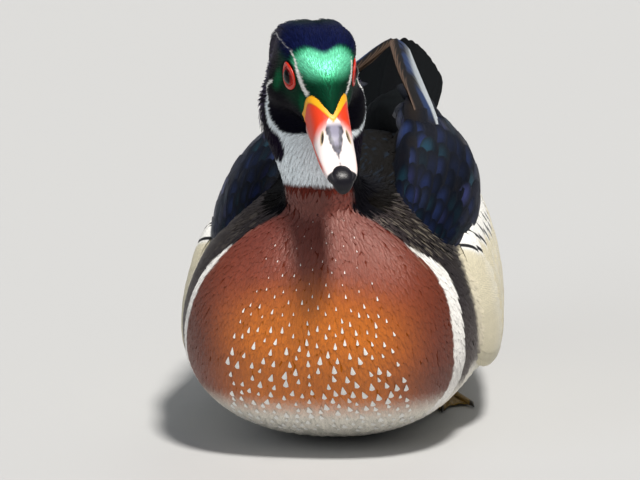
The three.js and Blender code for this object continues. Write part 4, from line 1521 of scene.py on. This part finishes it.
def barred_paint(group):
    """Buff feathers that end in a black bar, a broad white one and a black rim."""
    v = group["vane"][:, 1]
    bars = ((v > BLACK_BAR[0]) & (v < BLACK_BAR[1])) | (v > BLACK_RIM)
    return painted(group, np.where(bars[:, None], BLACK, mix(BUFF, WHITE, ramp(0.5, 0.6, v))), 0.0)


def barred_row(drop, shift, lift):
    """One row of barred feathers along the top of the flank, the first ones turned most upwards."""
    place = (np.arange(BARRED_COUNT) + shift) / BARRED_COUNT
    upright = ramp(0.45, 0.0, place)
    start = stacked(0.17 + 0.52 * place, 112 + 20 * place - drop + jitter(BARRED_COUNT, 1.5))
    sweep = stacked(0.15 - 0.08 * upright, 27 + 30 * upright)
    return barred_paint(laid(flank_surface, start, start + sweep, *BARRED, 6.2, lift))


def flank_feathers():
    groups = []
    for row, (start, end, count, half) in enumerate(FLANK_TIERS):
        first, last = tier(row, start, end, count, FLANK_SPAN)
        size = half * RNG.uniform(0.92, 1.08, count)
        group = laid(flank_surface, first, last, *ROUND_END, size, -0.25, thick=0.2, tilt=0.03)
        groups.append(tinted(group, BUFF, 0.03, 0.0, tip=mix(BUFF, WHITE, 0.3)))
    return groups + [barred_row(10, 0.5, 0.7), barred_row(0, 0.0, 1.2)]


# Tail

TAIL_ROOT = np.array([1, 102, 87.0])
TAIL_MIDDLE = np.array([-2.2, 146, 102.0])
TAIL_TIP = np.array([-3.8, 196, 118.0])
TAIL_FACE = unit(np.array([0, -0.31, 0.95]))
TAIL_PAIRS = 6
TAIL_BLACK = colour(0x060708)
TAIL_GREEN = colour(0x0A0D0E)
TAIL_SPAN = [20, 160]
TAIL_COVERTS = [(0.10, 0.50, 6), (0.22, 0.66, 7), (0.36, 0.82, 7), (0.5, 0.96, 6)]
# Rows of coverts under the tail: how far forward they grow, how many, and how far back they reach
UNDER_COVERTS = [(0.0, 7, 0.0), (-0.05, 6, -12.0)]


def tail_feathers():
    curves, rolls = [], []
    for pair in range(TAIL_PAIRS + 1):
        for side in (1, -1) if pair else (0,):
            out = side * (0.7 + 2.15 * pair)
            down = TAIL_FACE * (-0.9 * pair)
            curves.append([
                TAIL_ROOT + [0.5 * out, 0, 0] + down * 0.5,
                TAIL_MIDDLE + [0.9 * out, 0, 0] + down,
                TAIL_TIP + [1.1 * out, -0.55 - 0.42 * pair**2, -0.16 * pair**2] + down,
            ])
            rolls.append(side * 8)
    group = free(curves, TAIL_FACE, *ROUND_END, 6.7, rolls, columns=9, thick=0.3)
    groups = [tinted(group, TAIL_BLACK, 0.1, 0.3, edge=TAIL_GREEN)]
    for row, (start, end, count) in enumerate(TAIL_COVERTS):
        first, last = tier(row, start, end, count, TAIL_SPAN)
        group = laid(tail_surface, first, last, *ROUND_END, 5.4, 1.5)
        groups.append(tinted(group, TAIL_BLACK, 0.1, 0.35, tip=TAIL_GREEN))
    return groups + under_coverts()


def under_coverts():
    """Long black feathers from the end of the body under the tail."""
    groups = []
    for row, (back, count, reach) in enumerate(UNDER_COVERTS):
        curves, faces = [], []
        for side in np.linspace(-1, 1, count):
            degrees = 270 + 46 * side
            root, middle = trunk_surface(0.84 + back, degrees), trunk_surface(0.93 + back, degrees)
            up = outwards(trunk_surface, np.array(0.9 + back), np.array(degrees))
            tip = np.array([9 * side, 167 + reach - 9 * side**2, 97.5 + 0.25 * reach - 1.5 * side**2])
            curves.append([root - up * 2, middle + up * (1.2 + row * 0.8), tip])
            faces.append(up)
        group = free(curves, faces, *ROUND_END, 6.2, rolls=4)
        groups.append(tinted(group, TAIL_BLACK, 0.1, 0.2))
    return groups


# Crest

# Start and end along the crest, number, how many degrees each side of the top, half width
CREST_ROWS = [
    (0.05, 0.42, 15, 70, 1.7),
    (0.16, 0.56, 15, 72, 1.8),
    (0.28, 0.70, 14, 72, 1.9),
    (0.40, 0.82, 13, 68, 2.0),
    (0.52, 0.93, 12, 62, 2.0),
    (0.62, 0.985, 9, 50, 1.9),
]
LOCK = ([0, 0.15, 0.35, 0.55, 0.75, 0.9, 1], [0.6, 0.9, 1, 0.9, 0.62, 0.3, 0.05])


def crest_locks():
    groups = []
    for start, end, count, spread, half in CREST_ROWS:
        side = np.linspace(1, -1, count) + jitter(count, 0.04)
        degrees = 90 + spread * side
        first = stacked(start + jitter(count, 0.02), degrees)
        last = stacked(end - 0.05 * side**2 + jitter(count, 0.02), degrees + jitter(count, 3))
        size = half * RNG.uniform(0.85, 1.2, count)
        lift = 0.65 - 1.2 * side**6
        group = laid(crest_surface, first, last, *LOCK, size, lift, columns=5, thick=0.25, tilt=0.0)
        group["points"] = on_head(group["points"])
        group["shading"] = group["shading"] @ HEAD_TURN.T
        paint, gloss = markings(group["points"])
        groups.append(painted(group, paint * own_shade(group, 0.8, 1.15), gloss))
    return groups


# Eyes and lids

IRIS = colour(0x9A120C)
IRIS_EDGE = colour(0xD8361A)
PUPIL = colour(0x030203)
LID = colour(0xD02A14)
PUPIL_SHARE = 0.35  # of the way from the middle of the eye's front to its side
EYE_FORWARD = 13.0  # degrees that an eye looks forwards
BALL_RADIUS = 5.5
BALL_SHIFT = -0.35  # of the ball along its own axis, inwards
EYE_ROWS, EYE_AROUND = 30, 48


def eye_material():
    n = Nodes("eye")
    place = n.total(n.attribute("Out", "Fac"), (n.maths("SUBTRACT", n.noise(2600.0, 3.0), 0.5), 0.05))
    tone = n.ramp(
        place,
        (0.0, PUPIL),
        (PUPIL_SHARE, PUPIL),
        (PUPIL_SHARE + 0.02, IRIS * 0.4),
        (PUPIL_SHARE + 0.1, IRIS),
        (0.58, IRIS_EDGE),
        (0.7, IRIS * 0.5),
    )
    return n.finish(Base_Color=tone, Roughness=0.12, IOR=1.34, Specular_IOR_Level=0.3)


def in_socket(points, side):
    """From an eye's own axes, which are out, forwards and up, to places on the bird."""
    a = math.radians(EYE_FORWARD)
    out = np.array([math.cos(a), -math.sin(a), 0.04])
    fore = np.array([-math.sin(a), -math.cos(a), 0.0])
    up = np.array([-0.04, 0.0, 1.0])
    placed = np.array([EYE_OUT, 0, 0]) + points @ np.stack([out, fore, up])
    return on_head(mirrored(placed, side))


def eye_surface(t, degrees):
    """An eyeball from its front to its back, with its clear front bulging a little."""
    t, degrees = paired(t, degrees)
    angle, around = t * math.pi, np.radians(degrees)
    radius = BALL_RADIUS + 0.3 * ramp(0.8, 0.2, angle)
    away = radius * np.sin(angle)
    return stacked(radius * np.cos(angle) + BALL_SHIFT, away * np.cos(around), away * np.sin(around))


def lid_points(side):
    """A narrow almond ring of bare skin round the eye, with a crease along it."""
    around, ring = 96, 16
    a = np.arange(around) * math.tau / around
    b = np.arange(ring) * math.tau / ring
    corner = np.abs(np.cos(a)) ** 8
    peak = 1 + 0.16 * np.maximum(np.cos(a - 2.3), 0) ** 14
    fore = (LID_RING + 0.1 + 0.4 * corner) * np.cos(a) * peak
    up = (LID_RING - 0.45) * np.sin(a) * (1 - 0.1 * corner) * peak
    away = np.hypot(fore, up)
    out = 3.9 - 0.028 * fore**2 - 0.01 * up**2
    centre = np.stack([out, fore, up], -1)
    outward = np.stack([0 * a, fore / away, up / away], -1)
    crease = 1 - 0.16 * np.exp(-((b - 1.2) ** 2) / 0.06)
    wide = (1.0 - 0.2 * corner)[:, None] * (np.cos(b) * crease)[None]
    high = 0.6 * (np.sin(b) * crease)[None] * np.ones((around, 1))
    points = centre[:, None] + outward[:, None] * wide[..., None]
    points[..., 0] += high
    faces = grid(around, ring, closed_rows=True, closed_columns=True)
    return in_socket(points.reshape(-1, 3), side), faces


def lid_material():
    n = Nodes("eye_ring")
    grain = n.noise(1800.0, 4.0)
    tone = n.ramp(grain, (0.3, LID * 0.6), (0.7, LID))
    return n.finish(Base_Color=tone, Roughness=0.35, Normal=n.bump(grain, 0.3, 0.0001))


def build_eyes():
    material, ring_material = eye_material(), lid_material()
    for side, name in SIDES:
        points, faces = form(eye_surface, EYE_ROWS, EYE_AROUND)
        placed = in_socket(points, side)
        ball = mesh_of("eye", [(placed, rolled(outward_faces(placed, faces)))])
        add_value(ball, "Out", 2 * form_places(EYE_ROWS, EYE_AROUND)[0])
        settled("eye_ball_" + name, ball, material, "eye", "eye_" + name)
        placed, faces = lid_points(side)
        ring = mesh_of("ring", [(placed, rolled(outward_faces(placed, faces)))])
        settled("eye_ring_" + name, ring, ring_material, "eye")


# Bill

BILL_WHITE = colour(0xE6DAD8)
BILL_RED = colour(0xDC3A16)
BILL_YELLOW = colour(0xF0A914)
BILL_GREY = colour(0x807C92)
BILL_STREAK = colour(0x1A1822)
BILL_BLACK = colour(0x15131A)
BILL_PINK = colour(0xC98A84)
BILL_TAN = colour(0xB09A78)
NOSTRIL = np.array([5.5, -35.6])
# The edge of the feathers on the bill, out from the middle: how far back it lies
FEATHER_EDGE = ([0, 1.2, 4, 6.5, 8.2, 9.5], [-28.6, -27.4, -23.2, -18.4, -14.6, -13.4])
FEATHER_SIDE = -13.4
YELLOW_BAND = 1.6
# Half width of the grey and black ridge at places along it
RIDGE_HALF = ([-45.5, -43, -40, -36, -33, -30, -27], [0, 1.1, 2.3, 3.1, 3.7, 3.0, 0.6])
BILL_ROWS, BILL_AROUND = 240, 180


def bill_paint(local):
    """Colours of the upper bill, how far each place is from a nostril, and its yellow band."""
    x, y, z = folded(local)
    past = np.where(z > -10, np.interp(x, *FEATHER_EDGE), FEATHER_SIDE) - y
    ragged = 0.35 * np.sin(1.1 * y + 2 * x) + 0.2 * np.sin(2.7 * y - 2 * local[:, 0])
    half = np.interp(y, *RIDGE_HALF) + 0.5 * ragged
    inside = ramp(0.3, -0.3, x - half) * ramp(-13, -11, z)
    streak = np.maximum(ramp(2.1, 1.3, half - x) * ramp(-31, -32.5, y), ramp(-38, -41, y + ragged))
    ridge = mix(BILL_GREY, BILL_STREAK, streak * (0.75 + 0.4 * ragged))
    band = ramp(YELLOW_BAND + 0.35, YELLOW_BAND - 0.35, past)
    hole = np.hypot((y - NOSTRIL[1]) / 2.3, (x - NOSTRIL[0] + 0.2 * (y - NOSTRIL[1])) / 0.6)
    found = layered(
        BILL_RED,
        (BILL_WHITE, ramp(-28, -35, y + 0.45 * np.maximum(x - 4, 0) + 0.5 * ragged)),
        (BILL_RED, ramp(-11.2, -12.8, z) * ramp(-53, -46, y)),
        (mix(BILL_WHITE, ridge, ramp(-29.5, -32, y)), inside),
        (BILL_YELLOW, band * ramp(-16, -12, z)),
        (BILL_BLACK, ramp(-50.6, -51.4, y + 0.5 * np.maximum(x - 1, 0))),
        (BILL_TAN, ramp(1.45, 1.05, hole)),
        (BILL_BLACK, ramp(0.95, 0.7, hole)),
    )
    return found, hole, band


def bill_material(name, rough):
    n = Nodes(name)
    grain = n.noise(420.0, 6.0)
    height = n.total(0.0, (grain, 0.6), (n.noise(2400.0, 3.0), 0.5))
    return n.finish(
        Base_Color=n.shaded(n.attribute("Plumage"), n.ramp(grain, (0.3, 0.86), (0.7, 1.0))),
        Roughness=rough,
        Normal=n.bump(height, 0.18, 0.0003),
        Specular_IOR_Level=0.25,
        Coat_Weight=0.05,
        Coat_Roughness=0.2,
    )


def upper_bill():
    """The upper bill with nostrils, lamellae and a raised yellow band: points, faces and colours."""
    points, faces = form(upper_surface, BILL_ROWS, BILL_AROUND)
    paint, hole, band = bill_paint(points)
    lamellae = 0.12 * np.sin(points[:, 1] * math.tau / 1.1) * ramp(-13.2, -14.2, points[:, 2])
    lift = 0.25 * band - 0.9 * ramp(1.0, 0.6, hole) + lamellae
    lift = lift + 0.15 * ramp(1.6, 1.2, hole) * ramp(0.95, 1.15, hole)
    lift = lift * ramp(-58, -55, points[:, 1])
    ups = outwards(upper_surface, *form_places(BILL_ROWS, BILL_AROUND, 0.001, 0.999))
    return points + ups * lift[:, None], faces, paint


def build_bill():
    horn, dark = bill_material("bill", 0.44), bill_material("bill_nail", 0.3)
    nail, lower = form(nail_surface, 40, 48), form(lower_surface, 60, 64)
    pink = mix(BILL_PINK, BILL_BLACK, ramp(-46, -51, lower[0][:, 1]))
    parts = [
        ("bill_top", *upper_bill(), horn, ["bill_upper"]),
        ("bill_nail", *nail, BILL_BLACK, dark, []),
        ("bill_bottom", *lower, pink, horn, ["bill_lower"]),
    ]
    for name, points, faces, paint, material, replaced in parts:
        mesh = mesh_of(name, [(on_head(points), faces)])
        add_paint(mesh, paint)
        settled(name, mesh, material, "bill", *replaced)


# Feet

FOOT_YELLOW = colour(0xB08A3A)
FOOT_DARK = colour(0x3A3020)
SHANK = [
    [34, 44, 9, 3, 3],
    [34, 38, 7, 4, 4],
    [35, 22, 4.4, 3.2, 3.2],
    [37, 6, 3, 4, 2.8],
    [37, 0, 2.6, 2, 2],
]
HIND_TOE = [
    [36, 8, 3.4, 1.6, 1.6],
    [33, 13, 2.4, 1.6, 1.6],
    [30, 20, 1.4, 1, 1],
    [29, 23, 1, 0.5, 0.5],
]
TOE_JOINT = np.array([37.0, 4.0])
TOES = [(40, 14, 1.9), (46, -6, 2.1), (38, -27, 1.9)]  # length, turn in degrees, thickness
TOE_LEVEL = 1.7
TOE_DEPTH = 1.5
CLAW = 5.0


def toe_at(turned, reach):
    a = math.radians(turned)
    return TOE_JOINT - np.array([math.sin(a), math.cos(a)]) * reach


def toe_surface(length, turned, thick):
    stations = []
    for reach, size in ((-4, 0.8), (4, 1.0), (length * 0.5, 0.8), (length - CLAW, 0.72)):
        x, y = toe_at(turned, reach)
        stations.append([x, y, TOE_LEVEL, thick * size, TOE_DEPTH * size])
    x, y = toe_at(turned, length - CLAW + 1.2)
    stations.append([x, y, TOE_LEVEL, thick * 0.4, thick * 0.4])
    return limb_surface(stations)


def claw_surface(length, turned):
    stations = []
    for reach, size, level in ((-1.5, 0.9, 1.7), (1, 1.0, 1.8), (3, 0.6, 1.5), (CLAW, 0.2, 0.8)):
        x, y = toe_at(turned, length - CLAW + reach)
        stations.append([x, y, level, size, size * 1.1])
    return limb_surface(stations)


def ringed(surface, rings, depth):
    """A surface with the grooves between its scutes."""

    def shaped(t, degrees):
        t, degrees = paired(t, degrees)
        here = surface(t, degrees)
        middle = (surface(t, 0 * degrees) + surface(t, 0 * degrees + 180)) / 2
        groove = np.exp(-((np.abs((t * rings) % 1 - 0.5) - 0.5) ** 2) / 0.01)
        top = ramp(-0.2, 0.3, np.sin(np.radians(degrees)))
        return here - unit(here - middle) * (depth * groove * top)[..., None]

    return shaped


def web_form():
    """The webs, with a hollow front edge between each two toes."""
    tips = [toe_at(turned, length - CLAW) for length, turned, _ in TOES]
    rim = []
    for a, b in zip(tips[:-1], tips[1:]):
        dip = (a + b) / 2 * 0.78 + TOE_JOINT * 0.22
        for s in np.linspace(0, 1, 16)[:-1]:
            rim.append(a * (1 - s) ** 2 + dip * 2 * s * (1 - s) + b * s**2)
    rim.append(tips[-1])
    rim = np.array(rim)
    share = np.linspace(0.06, 1, 14)
    flat = TOE_JOINT + (rim - TOE_JOINT)[:, None] * share[None, :, None]
    fan = np.linspace(0, 1, len(rim))[:, None]
    wave = 0.28 * np.cos(fan * math.tau * 6) * share * (1 - 0.3 * share)
    top = np.concatenate([flat, (1.45 + wave)[..., None]], -1)
    bottom = np.concatenate([flat, (0.95 + wave)[..., None]], -1)
    rows, columns = top.shape[:2]
    points = np.vstack([top.reshape(-1, 3), bottom.reshape(-1, 3)])
    faces = []
    under = rows * columns

    def at(i, j):
        return i * columns + j

    for i in range(rows - 1):
        for j in range(columns - 1):
            square = [at(i, j), at(i + 1, j), at(i + 1, j + 1), at(i, j + 1)]
            faces.append(tuple(square))
            faces.append(tuple(k + under for k in square[::-1]))
    border = [at(i, 0) for i in range(rows)] + [at(rows - 1, j) for j in range(1, columns)]
    border += [at(i, columns - 1) for i in range(rows - 2, -1, -1)] + [at(0, j) for j in range(columns - 2, 0, -1)]
    for a, b in zip(border, border[1:] + border[:1]):
        faces.append((a, a + under, b + under, b))
    return points, outward_faces(points, faces)


def foot_material(name, light, dark, rough):
    n = Nodes(name)
    scales = n.add("TexVoronoi", {"Scale": 700.0}, feature="DISTANCE_TO_EDGE").outputs["Distance"]
    tone = n.ramp(n.noise(90.0, 4.0), (0.35, dark), (0.62, light))
    edge = n.ramp(scales, (0.0, 0.55), (0.12, 1.0))
    return n.finish(Base_Color=n.shaded(tone, edge), Roughness=rough, Normal=n.bump(edge, 0.5, 0.0003))


def build_feet():
    skin = foot_material("foot", FOOT_YELLOW, mix(FOOT_YELLOW, FOOT_DARK, 0.5), 0.5)
    horn = foot_material("claw", FOOT_DARK, FOOT_DARK * 0.4, 0.35)
    limbs = [form(ringed(limb_surface(SHANK), 14, 0.25), 80, 24)]
    limbs += [form(ringed(limb_surface(HIND_TOE), 7, 0.15), 30, 16)]
    limbs += [form(ringed(toe_surface(*toe), 22, 0.22), 110, 20) for toe in TOES]
    claws = [form(claw_surface(length, turned), 14, 12) for length, turned, _ in TOES]
    for side, name in SIDES:
        for kind, parts, material, replaced in (
            ("foot", limbs + [web_form()], skin, ["leg_" + name]),
            ("claws", claws, horn, []),
        ):
            placed = [(mirrored(points, side), faces) for points, faces in parts]
            mesh = mesh_of(kind, [(points, outward_faces(points, faces)) for points, faces in placed])
            settled(kind + "_" + name, mesh, material, "foot", *replaced)


# Room, light and camera

FLOOR_REACH = 30.0  # metres
FLOOR_SIDES = 64


def build_stage():
    n = Nodes("pale_floor")
    n.finish(Base_Color=n.ramp(n.noise(3.0, 2.0), (0.3, 0.44), (0.7, 0.47)), Roughness=0.75)
    around = np.arange(FLOOR_SIDES) * math.tau / FLOOR_SIDES
    points = stacked(FLOOR_REACH * np.cos(around), FLOOR_REACH * np.sin(around), 0.0) / MM
    floor = object_of("floor", mesh_of("floor", [(points, [tuple(range(FLOOR_SIDES))])]))
    floor.data.materials.append(n.material)


def soft_light(name, towards, spread, power, tone=(1, 1, 1)):
    """An even light from one direction, spread over some degrees, the same all over the floor."""
    lamp = bpy.data.lights.new(name, "SUN")
    lamp.angle = math.radians(spread)
    lamp.energy = power
    lamp.color = tone
    light = object_of(name, lamp)
    light.rotation_euler = (-Vector(towards)).to_track_quat("-Z", "Y").to_euler()


def build_lights():
    soft_light("key", (0.46, -0.68, 1.71), 9, 4.7, (1, 0.97, 0.92))
    soft_light("fill", (-1.3, -1.16, 0.81), 40, 0.5, (0.9, 0.95, 1))
    soft_light("back", (0.3, 1.54, 1.21), 30, 0.25)
    world = bpy.data.worlds.new("room")
    world.use_nodes = True
    background = world.node_tree.nodes["Background"].inputs
    background["Color"].default_value = (0.82, 0.88, 0.95, 1)
    background["Strength"].default_value = 0.26
    bpy.context.scene.world = world
    bpy.context.scene.view_settings.view_transform = "Standard"


CAMERA_TURN = 7.5  # degrees round the bird, towards its left side
CAMERA_RISE = 12.0  # degrees above the floor
CAMERA_AWAY = 4.0  # metres
CAMERA_AIM = np.array([1.767, -137.884, 95.428])
PHOTO_WIDTH = 640
PHOTO_SCALE = 2.4  # pixels a millimetre at the aim


def build_camera():
    a, e = math.radians(CAMERA_TURN), math.radians(CAMERA_RISE)
    back = Vector((math.sin(a) * math.cos(e), -math.cos(a) * math.cos(e), math.sin(e)))
    data = bpy.data.cameras.new("camera")
    data.sensor_width = 36
    half_view = PHOTO_WIDTH / PHOTO_SCALE / 2 * MM
    data.lens = data.sensor_width / 2 * CAMERA_AWAY / half_view
    data.clip_end = 50
    camera = object_of("camera", data)
    camera.location = Vector(CAMERA_AIM * MM) + back * CAMERA_AWAY
    camera.rotation_mode = "QUATERNION"
    camera.rotation_quaternion = (-back).to_track_quat("-Z", "Y")
    bpy.context.scene.camera = camera


def build_bird():
    skin = make_skin()
    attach(skin, "root")
    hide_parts("torso", "neck", "head")
    coat(skin)
    sleek = {"barbs": 60.0, "slant": 0.9, "rough": 0.5, "edge": DARK_EDGE}
    wings = feather_material("wing_feathers", strength=0.15, specular=0.06, **sleek)
    build_sides("wing", wing_feathers(), wings, PRIMARY_SWING)
    flanks = feather_material("flank_feathers", barbs=30.0, slant=0.6, bars=13.0)
    build_sides("flank", flank_feathers(), flanks)
    quills = feather_material("tail_feathers", strength=0.2, specular=0.04, **sleek)
    plumage("tail_feathers", atlas(tail_feathers()), quills, "tail_feathers", "tail")
    silk = feather_material(
        "crest_feathers", barbs=8.0, slant=0.2, rough=0.5, specular=0.05, edge=DARK_EDGE
    )
    plumage("crest_feathers", atlas(crest_locks()), silk, "crest_feathers", "crest")
    build_eyes()
    build_bill()
    build_feet()


build_camera()
build_stage()
build_lights()
build_bird()
